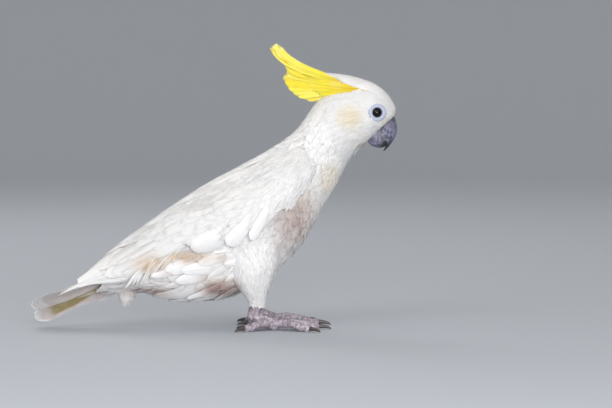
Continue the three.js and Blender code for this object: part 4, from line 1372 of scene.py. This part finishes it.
def claw_parts():
    """The right foot's claws: each leaves its toe level and falls to the ground over a quarter
    turn, taller than wide, thinning to a point."""
    parts = []
    for toe in TOES.values():
        f = np.linspace(0, 1, 28)
        line, way = toe_line(toe, np.array([1.0]))
        start = line[0] + way * -1.2 + (0, 0, 0.5)
        fall, reach = start[2] - 0.5, toe[4] * 0.8 + 1.5
        turn = np.pi / 2 * f
        curve = start + way * (reach * np.sin(turn))[:, None]
        curve[:, 2] -= fall * (1 - np.cos(turn))
        radii = 2.25 * (1 - 0.86 * f**1.15)
        parts.append(pipe(curve, radii, 20, wide=0.8, tall=1.1))
    return joined(parts)


# ---- Materials ----------------------------------------------------------------------------------

# Inputs by number: a Mix has its share at 0 and its colours at 6 and 7, a MapRange its value at 0,
# from at 1 and 2 and to at 3 and 4, and a Math its values at 0 to 2. A texture's scale is 1000
# over the size of its features in millimetres.

def add(tree, kind, inputs=None, **settings):
    """Adds a shader node with its settings, and with each input's value or (node, output) link."""
    node = tree.nodes.new("ShaderNode" + kind)
    for key, value in settings.items():
        setattr(node, key, value)
    for key, value in (inputs or {}).items():
        if isinstance(value, tuple) and isinstance(value[0], bpy.types.Node):
            tree.links.new(value[0].outputs[value[1]], node.inputs[key])
        else:
            node.inputs[key].default_value = value
    return node


def new_material(name, roughness, **constants):
    """A material with one Principled shader, whose constant sockets are set directly."""
    material = bpy.data.materials.new(name)
    material.use_nodes = True
    tree = material.node_tree
    shader = tree.nodes["Principled BSDF"]
    shader.inputs["Roughness"].default_value = roughness
    for key, value in constants.items():
        shader.inputs[key.replace("_", " ")].default_value = value
    return material, tree, shader


def wire(tree, shader, **links):
    """Links each named socket of the shader to a (node, output)."""
    for socket, (node, output) in links.items():
        tree.links.new(node.outputs[output], shader.inputs[socket.replace("_", " ")])


def rgba(colour):
    """Red, green and blue with a full alpha."""
    return (*colour, 1.0)


def feather_material(name, ground, cool, dyes, barb):
    """Feather keratin: matt and finely ribbed, between two whites feather by feather. Barbs lean
    out from the shaft and give the vane its silky grain; three colours tint it where its vector
    attribute says, and on white and tail feathers the third is painted shade. Barb spacing is
    drawn about three times too wide, as real barbs are too fine to show."""
    material, tree, shader = new_material(
        name, 0.72, Sheen_Weight=0.12, Sheen_Roughness=0.5, Subsurface_Weight=0.35,
        Subsurface_Radius=(1.0, 0.95, 0.88), Subsurface_Scale=0.0015)
    flat = add(tree, "SeparateXYZ", {0: (add(tree, "Attribute", attribute_name="vane"), "Vector")})
    dose = add(tree, "SeparateXYZ", {0: (add(tree, "Attribute", attribute_name="dye"), "Vector")})
    place = (add(tree, "TexCoord"), "Object")
    cloud = add(tree, "TexNoise", {"Vector": place, "Scale": 1000 / 14, "Detail": 3.0})
    fine = add(tree, "TexNoise", {"Vector": place, "Scale": 1000 / 2.5, "Detail": 2.0})
    patchy = add(tree, "Math", {0: (cloud, "Fac"), 1: 0.9, 2: 0.55}, operation="MULTIPLY_ADD")
    colour = add(tree, "Mix", {0: (flat, "Z"), 6: rgba(ground), 7: rgba(cool)}, data_type="RGBA")
    # On white and tail feathers the third colour is painted shade.
    for output, shade in zip("XYZ", dyes):
        dosed = add(tree, "Math", {0: (dose, output), 1: (patchy, 0)}, operation="MULTIPLY",
                    use_clamp=True)
        colour = add(tree, "Mix", {0: (dosed, 0), 6: (colour, 2), 7: rgba(shade)}, data_type="RGBA")
    across = add(tree, "Math", {0: (flat, "Y")}, operation="ABSOLUTE")
    lean = add(tree, "Math", {0: (across, 0), 1: -0.8, 2: (flat, "X")}, operation="MULTIPLY_ADD")
    phase = add(tree, "Math", {0: (lean, 0), 1: TWO_PI / barb}, operation="MULTIPLY")
    wobble = add(tree, "Math", {0: (cloud, "Fac"), 1: 7.0, 2: (phase, 0)}, operation="MULTIPLY_ADD")
    barbs = add(tree, "Math", {0: (wobble, 0)}, operation="SINE")
    shaft = add(tree, "MapRange", {0: (across, 0), 1: 0.2, 2: 0.55, 3: 3.0, 4: 0.0})
    height = add(tree, "Math", {0: (barbs, 0), 1: 0.5, 2: (shaft, 0)}, operation="MULTIPLY_ADD")
    rough = add(tree, "Math", {0: (fine, "Fac"), 1: 1.6, 2: (height, 0)}, operation="MULTIPLY_ADD")
    bump = add(tree, "Bump", {"Height": (rough, 0), "Strength": 0.5, "Distance": 0.00012})
    grain = add(tree, "MapRange", {0: (barbs, 0), 1: -1.0, 2: 1.0, 3: 0.965, 4: 1.0})
    final = add(tree, "Mix", {0: 1.0, 6: (colour, 2), 7: (grain, 0)}, data_type="RGBA",
                blend_type="MULTIPLY")
    wire(tree, shader, Base_Color=(final, 2), Normal=(bump, 0))
    return material


def skin_material(name, ground, dyes):
    """Bare pale skin under the coat: soft, slightly uneven, with goose bumps 3 mm apart, tinted
    by the coat's colour marks and its painted shade.
    """
    material, tree, shader = new_material(name, 0.65)
    dose = add(tree, "SeparateXYZ", {0: (add(tree, "Attribute", attribute_name="dye"), "Vector")})
    place = (add(tree, "TexCoord"), "Object")
    bumps = add(tree, "TexVoronoi", {"Vector": place, "Scale": 1000 / 3})
    colour = rgba(ground)
    for output, shade in zip("XYZ", dyes):
        layer = add(tree, "Mix", {0: (dose, output), 6: colour, 7: rgba(shade)}, data_type="RGBA")
        colour = (layer, 2)
    bump = add(tree, "Bump", {"Height": (bumps, "Distance"), "Strength": 0.4, "Distance": 0.0003})
    wire(tree, shader, Base_Color=colour, Normal=(bump, 0))
    return material


def bill_material(name, ground, powder, edge, tip):
    """Beak horn: dull slate keratin dusted with pale powder down, scratched along its length, with
    paler worn cutting edges and a darker, smoother tip."""
    material, tree, shader = new_material(name, 0.5, Coat_Weight=0.08, Coat_Roughness=0.4)
    dose = add(tree, "SeparateXYZ", {0: (add(tree, "Attribute", attribute_name="dye"), "Vector")})
    place = (add(tree, "TexCoord"), "Object")
    dust = add(tree, "TexNoise", {"Vector": place, "Scale": 1000 / 4.0, "Detail": 6.0,
                                  "Roughness": 0.7})
    stretch = add(tree, "Mapping", {"Vector": place, "Rotation": (0, math.radians(35), 0),
                                    "Scale": (1.0, 1.0, 0.22)})
    scratch = add(tree, "TexNoise", {"Vector": (stretch, 0), "Scale": 1000 / 1.1, "Detail": 3.0,
                                     "Distortion": 0.6})
    dusty = add(tree, "MapRange", {0: (dust, "Fac"), 1: 0.40, 2: 0.62, 3: 0.0, 4: 0.8})
    lined = add(tree, "MapRange", {0: (scratch, "Fac"), 1: 0.50, 2: 0.66, 3: 0.0, 4: 0.8})
    worn = add(tree, "Math", {0: (dose, "X"), 1: 0.55}, operation="MULTIPLY")
    dark = add(tree, "MapRange", {0: (dose, "Y"), 1: 0.56, 2: 0.76, 3: 0.0, 4: 0.92})
    root = add(tree, "MapRange", {0: (dose, "Y"), 1: 0.06, 2: 0.22, 3: 0.75, 4: 0.0})
    colour = rgba(ground)
    for mask, shade in ((dusty, powder), (lined, powder), (worn, edge), (dark, tip), (root, tip)):
        layer = add(tree, "Mix", {0: (mask, 0), 6: colour, 7: rgba(shade)}, data_type="RGBA")
        colour = (layer, 2)
    rough = add(tree, "MapRange", {0: (dust, "Fac"), 1: 0.3, 2: 0.7, 3: 0.42, 4: 0.7})
    height = add(tree, "Math", {0: (scratch, "Fac"), 1: 1.2, 2: (dust, "Fac")},
                 operation="MULTIPLY_ADD")
    bump = add(tree, "Bump", {"Height": (height, 0), "Strength": 0.5, "Distance": 0.0002})
    wire(tree, shader, Base_Color=colour, Roughness=(rough, 0), Normal=(bump, 0))
    return material


def eye_material(name, pupil, iris):
    """A wet dark eye: smooth as tears, over a near-black brown iris and a black pupil."""
    material, tree, shader = new_material(name, 0.04, IOR=1.38)
    far = add(tree, "SeparateXYZ", {0: (add(tree, "Attribute", attribute_name="dye"), "Vector")})
    place = (add(tree, "TexCoord"), "Object")
    grain = add(tree, "TexNoise", {"Vector": place, "Scale": 1000 / 0.5})
    soft = add(tree, "MapRange", {0: (far, "X"), 1: 2.9, 2: 3.3, 3: 0.0, 4: 1.0})
    grainy = add(tree, "Math", {0: (soft, 0), 1: (grain, "Fac")}, operation="MULTIPLY")
    colour = add(tree, "Mix", {0: (grainy, 0), 6: rgba(pupil), 7: rgba(iris)}, data_type="RGBA")
    wire(tree, shader, Base_Color=(colour, 2))
    return material


def ring_material(name, ground, margin, fold):
    """Bare skin round the eye: thin, pale and bluish, with fine folds, painted shade in their
    hollows, and a darker beaded lid.
    """
    material, tree, shader = new_material(name, 0.5, Subsurface_Weight=0.15, Subsurface_Scale=0.001)
    dose = add(tree, "SeparateXYZ", {0: (add(tree, "Attribute", attribute_name="dye"), "Vector")})
    place = (add(tree, "TexCoord"), "Object")
    pores = add(tree, "TexVoronoi", {"Vector": place, "Scale": 1000 / 0.8})
    # Painted shade where the folds sink.
    fold_shade = add(tree, "MapRange", {0: (dose, "Y"), 1: 0.1, 2: -0.8, 3: 0.0, 4: 0.45})
    colour = rgba(ground)
    for mask, shade in (((fold_shade, 0), fold), ((dose, "X"), margin)):
        layer = add(tree, "Mix", {0: mask, 6: colour, 7: rgba(shade)}, data_type="RGBA")
        colour = (layer, 2)
    bump = add(tree, "Bump", {"Height": (pores, "Distance"), "Strength": 0.4, "Distance": 0.00015})
    wire(tree, shader, Base_Color=colour, Normal=(bump, 0))
    return material


def scale_material(name, ground, crease, flake, size):
    """A parrot's foot: dry grey scales with dark creases between them, painted shade in the mesh's
    hollows, and pale worn tops.
    """
    material, tree, shader = new_material(name, 0.62)
    place = (add(tree, "TexCoord"), "Object")
    warp = add(tree, "TexNoise", {"Vector": place, "Scale": 1000 / 4, "Detail": 2.0})
    edges = add(tree, "TexVoronoi", {"Vector": place, "Scale": 1000 / size},
                feature="DISTANCE_TO_EDGE")
    crack = add(tree, "MapRange", {0: (edges, "Distance"), 1: 0.0, 2: 0.16, 3: 0.6, 4: 0.0})
    hollow = add(tree, "NewGeometry")
    worn = add(tree, "MapRange", {0: (hollow, "Pointiness"), 1: 0.5, 2: 0.56, 3: 0.0, 4: 0.7})
    # Painted shade where the surface is hollow.
    deep = add(tree, "MapRange", {0: (hollow, "Pointiness"), 1: 0.49, 2: 0.44, 3: 0.0, 4: 0.9})
    patch = add(tree, "MapRange", {0: (warp, "Fac"), 1: 0.38, 2: 0.62, 3: 0.0, 4: 1.0})
    grime = add(tree, "TexNoise", {"Vector": place, "Scale": 1000 / 9, "Detail": 3.0})
    dark = add(tree, "MapRange", {0: (grime, "Fac"), 1: 0.48, 2: 0.66, 3: 0.0, 4: 0.6})
    colour = rgba(ground)
    for mask, shade in ((patch, flake), (dark, crease), (worn, flake), (crack, crease),
                        (deep, crease)):
        layer = add(tree, "Mix", {0: (mask, 0), 6: colour, 7: rgba(shade)}, data_type="RGBA")
        colour = (layer, 2)
    height = add(tree, "MapRange", {0: (edges, "Distance"), 1: 0.0, 2: 0.25, 3: 0.0, 4: 1.0})
    bump = add(tree, "Bump", {"Height": (height, 0), "Strength": 0.7, "Distance": 0.0003})
    wire(tree, shader, Base_Color=colour, Normal=(bump, 0))
    return material


def claw_material(name, ground, worn):
    """Claw horn: dark, hard and slightly glossy, streaked along its growth."""
    material, tree, shader = new_material(name, 0.36, Coat_Weight=0.15, Coat_Roughness=0.3)
    place = (add(tree, "TexCoord"), "Object")
    streak = add(tree, "TexNoise", {"Vector": place, "Scale": 1000 / 1.6, "Detail": 4.0})
    colour = add(tree, "Mix", {0: (streak, "Fac"), 6: rgba(ground), 7: rgba(worn)},
                 data_type="RGBA")
    bump = add(tree, "Bump", {"Height": (streak, "Fac"), "Strength": 0.3, "Distance": 0.0001})
    wire(tree, shader, Base_Color=(colour, 2), Normal=(bump, 0))
    return material


# ---- Settings, operators and panel --------------------------------------------------------------

def colour_setting(name, description, code):
    """A colour that a user can change, by its sRGB hex code."""
    return bpy.props.FloatVectorProperty(
        name=name, description=description, default=linear(code)[:3], subtype="COLOR", size=3,
        min=0, max=1)


class CockatooPlumage(bpy.types.PropertyGroup):
    """The feathers' colours and grain."""

    white: colour_setting("White", "Ground colour of the feathers", "#F7F5F2")
    cool: colour_setting("Cool white", "The other end of the feathers' range of white", "#F3F1F0")
    lemon: colour_setting("Lemon", "Crest plumes towards their tips, and the ear patch", "#F4E53A")
    gold: colour_setting("Gold", "Crest plumes at their roots", "#E6B40C")
    cream: colour_setting("Cream", "Palest ends of the crest plumes", "#F8F0A0")
    straw: colour_setting("Straw", "Yellow of the ear patch and the throat", "#EACB74")
    # Olive is the tail's under-face yellow, darkened with painted shade.
    olive: colour_setting("Olive", "Yellow of the tail's under face", "#8F8526")
    # Stain is real wear and food stain, and also painted warm shade below the wing, on the belly,
    # the breast and behind the thigh, and at overlapped roots.
    stain: colour_setting("Stain", "Tan wear on the flanks and wing edges", "#DDBB97")
    # Shade is painted shade: on the breast, vent, belly, chin, under the wing, on the tail's under
    # faces and at overlapped roots.
    shade: colour_setting("Shade", "Grey-mauve of the down below the surface", "#A58D87")
    barb: bpy.props.FloatProperty(
        name="Barb spacing", description="Distance between the ribs of a vane, in millimetres",
        default=0.9, min=0.3, max=3)


class CockatooHead(bpy.types.PropertyGroup):
    """Colours of the bare parts of the head."""

    slate: colour_setting("Slate", "Ground colour of the beak", "#353543")
    powder: colour_setting("Powder", "Pale dust and scratches on the beak", "#8D8CA4")
    edge: colour_setting("Cutting edge", "Worn edges of the beak", "#A9A395")
    tip: colour_setting("Beak tip", "Dark end of the beak", "#141417")
    pupil: colour_setting("Pupil", "Middle of the eye", "#030303")
    iris: colour_setting("Iris", "Ring round the pupil", "#1C120D")
    ring: colour_setting("Eye ring", "Bare skin round the eye", "#B1B6CA")
    margin: colour_setting("Lid margin", "Beaded rim of the lids", "#6A7480")
    # Ring folds is painted shade in the folds' hollows.
    fold: colour_setting("Ring folds", "Creases in the bare skin", "#9BA2B8")
    skin: colour_setting("Skin", "Bare skin under the coat", "#EFE6DF")


class CockatooFeet(bpy.types.PropertyGroup):
    """Colours and scale size of the feet."""

    scales: colour_setting("Scales", "Ground colour of the feet", "#8F8590")
    # Creases colours the joints between scales, dirt, and painted shade in hollows.
    crease: colour_setting("Creases", "Skin between the scales", "#55494F")
    flake: colour_setting("Worn scales", "Pale tops of the scales", "#CABFCA")
    claw: colour_setting("Claw", "Ground colour of the claws", "#242022")
    claw_worn: colour_setting("Worn claw", "Pale streaks on the claws", "#5B5452")
    scale_size: bpy.props.FloatProperty(
        name="Scale size", description="Distance between small scales, in millimetres",
        default=2.4, min=0.5, max=4)


class CockatooStage(bpy.types.PropertyGroup):
    """The view and the floor."""

    floor: colour_setting("Floor", "Colour of floor and backdrop", "#B2B7BE")
    height: bpy.props.FloatProperty(
        name="View height", description="How far the camera looks down", default=math.radians(3.5),
        min=0, max=1, subtype="ANGLE")
    width: bpy.props.FloatProperty(
        name="View width", description="Width seen at the bird", default=0.6487, min=0.2, max=3,
        subtype="DISTANCE", unit="LENGTH")


def plumage(kind):
    """The one material of each kind of feather, made when it is first asked for."""
    made = bpy.data.materials.get(kind)
    if made:
        return made
    c = bpy.context.scene.cockatoo_plumage
    cool, dyes = {
        "white feather": (c.cool, (c.straw, c.stain, c.shade)),
        "tail feather": (c.cool, (c.olive, c.stain, c.shade)),
        "yellow feather": (c.white, (c.lemon, c.gold, c.cream)),
    }[kind]
    return feather_material(kind, c.white, cool, dyes, c.barb)


class COCKATOO_OT_stage(bpy.types.Operator):
    """Makes the floor, the lights and the camera"""

    bl_idname = "cockatoo.stage"
    bl_label = "Stage"

    def execute(self, context):
        c = context.scene.cockatoo_stage
        # A flat round floor of radius 3.1 m whose rim turns up over a quarter circle of 2 m, and
        # stands 0.6 m higher above it.
        flat, bend, wall = 3.1, 2.0, 0.6
        arc = np.linspace(0, np.pi / 2, 24)
        radius = (np.linspace(0.01, flat, 12)[:-1], flat + bend * np.sin(arc), [flat + bend])
        rise = np.concatenate((np.zeros(11), bend * (1 - np.cos(arc)), [bend + wall]))
        radius, turn = rings(np.concatenate(radius), 96)
        points = vec(radius * np.cos(turn), radius * np.sin(turn), rise[:, None])
        ids = ring_ids(*turn.shape)
        where = np.concatenate(((points.reshape(-1, 3) - HOME) / MM, [[0, 0, 0]]))
        fan = vec(turn.size, ids[0, :-1], ids[0, 1:])
        mesh = mesh_of("floor", {"points": where, "quads": grid_quads(ids), "tris": fan})
        mesh.materials.append(new_material("painted floor", 0.8, Base_Color=rgba(c.floor))[0])
        floor = placed("floor", mesh)

        look = np.array((97, 0, 131.4)) * MM + HOME
        for name, place, size, power in (
            ("key light", (-0.9, -1.4, 1.4), 1.2, 8.5),
            ("fill light", (0.4, -2.0, 0.25), 1.5, 45),
            ("back light", (-0.6, 1.5, 1.6), 1.2, 8),
        ):
            data = bpy.data.lights.new(name, "AREA")
            data.shape, data.size, data.energy = "DISK", size, power
            light = placed(name, data)
            light.location = place
            aim = Vector(look) - Vector(place)
            light.rotation_euler = aim.to_track_quat("-Z", "Y").to_euler()

        world = bpy.data.worlds.new("soft room")
        world.use_nodes = True
        world.node_tree.nodes["Background"].inputs["Color"].default_value = linear("#F4F2F0")
        world.node_tree.nodes["Background"].inputs["Strength"].default_value = 0.76
        context.scene.world = world

        data = bpy.data.cameras.new("camera")
        data.lens = 160
        distance = c.width * data.lens / data.sensor_width
        camera = placed("camera", data)
        back = Vector((0, -math.cos(c.height), math.sin(c.height))) * distance
        camera.location = Vector(look) + back
        camera.rotation_euler = (-back).to_track_quat("-Z", "Y").to_euler()
        context.scene.camera = camera
        context.scene.view_settings.view_transform = "Standard"
        return {"FINISHED"}


class COCKATOO_OT_skin(bpy.types.Operator):
    """Makes one skin over trunk, neck, head and thighs"""

    bl_idname = "cockatoo.skin"
    bl_label = "Skin"

    def execute(self, context):
        mesh = remeshed("skin", body_skin(), voxel=1.8, rounds=4)
        where = opened_for_eyes(vertices_of(mesh))
        move_vertices(mesh, where)
        # The skin takes the coat's colour marks, painted shade among them.
        dye = mesh.attributes.new("dye", "FLOAT_VECTOR", "POINT")
        dye.data.foreach_set("vector", markings_and_shade(where).astype(np.float32).ravel())
        c, bare = context.scene.cockatoo_plumage, context.scene.cockatoo_head.skin
        material = skin_material("bare skin", bare, (c.straw, c.stain, c.shade))
        nodes = ("head", "neck", "trunk", "thigh_right", "thigh_left")
        piece("skin", mesh, material, nodes)
        return {"FINISHED"}


class COCKATOO_OT_coat(bpy.types.Operator):
    """Makes the small feathers of the body, the head and the thighs"""

    bl_idname = "cockatoo.coat"
    bl_label = "Body coat"

    def execute(self, context):
        rng = np.random.default_rng(SEED)
        small, large = body_coat(rng)
        white = plumage("white feather")
        for name, part in (
            ("coat_head", small),
            ("coat_body", large),
            ("coat_thigh_right", thigh_coat(rng)),
            ("coat_thigh_left", leaning(mirrored(thigh_coat(rng)))),
        ):
            piece(name, part, white)
        return {"FINISHED"}


class COCKATOO_OT_wings(bpy.types.Operator):
    """Makes both folded wings: lining, flight feathers, coverts and scapulars"""

    bl_idname = "cockatoo.wings"
    bl_label = "Wings"

    def execute(self, context):
        white = plumage("white feather")
        for side, turned in SIDES:
            rng = np.random.default_rng(SEED + len(side))
            flights = (f"wing_primaries_{side}", f"wing_secondaries_{side}")
            for name, make, slot, nodes in (
                ("wing_lining", wing_lining, "flight_feathers", ()),
                ("wing_flights", flight_feathers, "flight_feathers", flights),
                ("wing_cover", wing_coverts, "plumage", (f"wing_coverts_{side}",)),
                ("scapulars", scapulars, "plumage", ()),
            ):
                piece(f"{name}_{side}", turned(make(rng)), white, nodes)
        return {"FINISHED"}


class COCKATOO_OT_tail(bpy.types.Operator):
    """Makes the tail feathers and the coverts over and under them"""

    bl_idname = "cockatoo.tail"
    bl_label = "Tail"

    def execute(self, context):
        part = tail_feathers(np.random.default_rng(SEED + 1))
        piece("tail_feathers", part, plumage("tail feather"), ("tail",))
        return {"FINISHED"}


class COCKATOO_OT_crest(bpy.types.Operator):
    """Makes the yellow crest plumes and the white feathers over their roots"""

    bl_idname = "cockatoo.crest"
    bl_label = "Crest"

    def execute(self, context):
        rng = np.random.default_rng(SEED + 2)
        yellow, white = plumage("yellow feather"), plumage("white feather")
        piece("crest_plumes", crest_plumes(rng), yellow, ("crest",))
        piece("crown", crown_feathers(rng), white, ("crown_feathers",))
        return {"FINISHED"}


class COCKATOO_OT_beak(bpy.types.Operator):
    """Makes the two halves of the beak"""

    bl_idname = "cockatoo.beak"
    bl_label = "Beak"

    def execute(self, context):
        c = context.scene.cockatoo_head
        horn = bill_material("beak horn", c.slate, c.powder, c.edge, c.tip)
        upper = beak_half(BEAK_UPPER, rows=90, cols=96, keel=0.18, flat=0.8)
        lower = beak_half(BEAK_LOWER, rows=60, cols=96, keel=0.10, flat=0.8, slim=0.93)
        piece("bill_upper", upper, horn, ("beak_upper",))
        piece("bill_lower", lower, horn, ("beak_lower",))
        return {"FINISHED"}


class COCKATOO_OT_eyes(bpy.types.Operator):
    """Makes both eyes and the bare rings round them"""

    bl_idname = "cockatoo.eyes"
    bl_label = "Eyes"

    def execute(self, context):
        c = context.scene.cockatoo_head
        wet = eye_material("wet eye", c.pupil, c.iris)
        bare = ring_material("bare eye skin", c.ring, c.margin, c.fold)
        for side, turned in SIDES:
            piece(f"eyeball_{side}", turned(eyeball()), wet, (f"eye_{side}",))
            piece(f"lids_{side}", turned(eye_ring()), bare, (f"eye_ring_{side}",))
        return {"FINISHED"}


class COCKATOO_OT_feet(bpy.types.Operator):
    """Makes both scaly feet and their claws"""

    bl_idname = "cockatoo.feet"
    bl_label = "Feet"

    def execute(self, context):
        c = context.scene.cockatoo_feet
        scaly = scale_material("scaly skin", c.scales, c.crease, c.flake, c.scale_size)
        horn = claw_material("claw horn", c.claw, c.claw_worn)
        for side, turned in SIDES:
            mesh = remeshed(f"toes_{side}", turned(foot_parts()), voxel=0.55, rounds=1)
            move_vertices(mesh, np.maximum(vertices_of(mesh), (-np.inf, -np.inf, CLEARANCE)))
            claws = turned(claw_parts())
            claws["points"][:, 2] = np.maximum(claws["points"][:, 2], CLEARANCE)
            piece(f"toes_{side}", mesh, scaly, (f"foot_{side}",))
            piece(f"claws_{side}", claws, horn, [f"claw_{name}_{side}" for name in TOES])
        return {"FINISHED"}


OPERATORS = (
    COCKATOO_OT_stage, COCKATOO_OT_skin, COCKATOO_OT_coat, COCKATOO_OT_wings, COCKATOO_OT_tail,
    COCKATOO_OT_crest, COCKATOO_OT_beak, COCKATOO_OT_eyes, COCKATOO_OT_feet,
)
SETTINGS = {
    "cockatoo_plumage": CockatooPlumage, "cockatoo_head": CockatooHead,
    "cockatoo_feet": CockatooFeet, "cockatoo_stage": CockatooStage,
}


class COCKATOO_PT_panel(bpy.types.Panel):
    """Lists the settings and the operators in the sidebar"""

    bl_idname = "COCKATOO_PT_panel"
    bl_label = "Cockatoo"
    bl_space_type = "VIEW_3D"
    bl_region_type = "UI"
    bl_category = "Cockatoo"

    def draw(self, context):
        for group in SETTINGS:
            settings = getattr(context.scene, group)
            box = self.layout.box()
            for key in settings.__annotations__:
                box.prop(settings, key)
        for operator in OPERATORS:
            self.layout.operator(operator.bl_idname)


def register():
    for group, kind in SETTINGS.items():
        bpy.utils.register_class(kind)
        setattr(bpy.types.Scene, group, bpy.props.PointerProperty(type=kind))
    for kind in (*OPERATORS, COCKATOO_PT_panel):
        bpy.utils.register_class(kind)


def unregister():
    for kind in reversed((*OPERATORS, COCKATOO_PT_panel)):
        bpy.utils.unregister_class(kind)
    for group, kind in SETTINGS.items():
        delattr(bpy.types.Scene, group)
        bpy.utils.unregister_class(kind)


def main():
    register()
    for operator in OPERATORS:
        group, name = operator.bl_idname.split(".")
        if getattr(getattr(bpy.ops, group), name)() != {"FINISHED"}:
            raise RuntimeError(f"{operator.bl_label} was not finished")


if __name__ == "__main__":
    main()
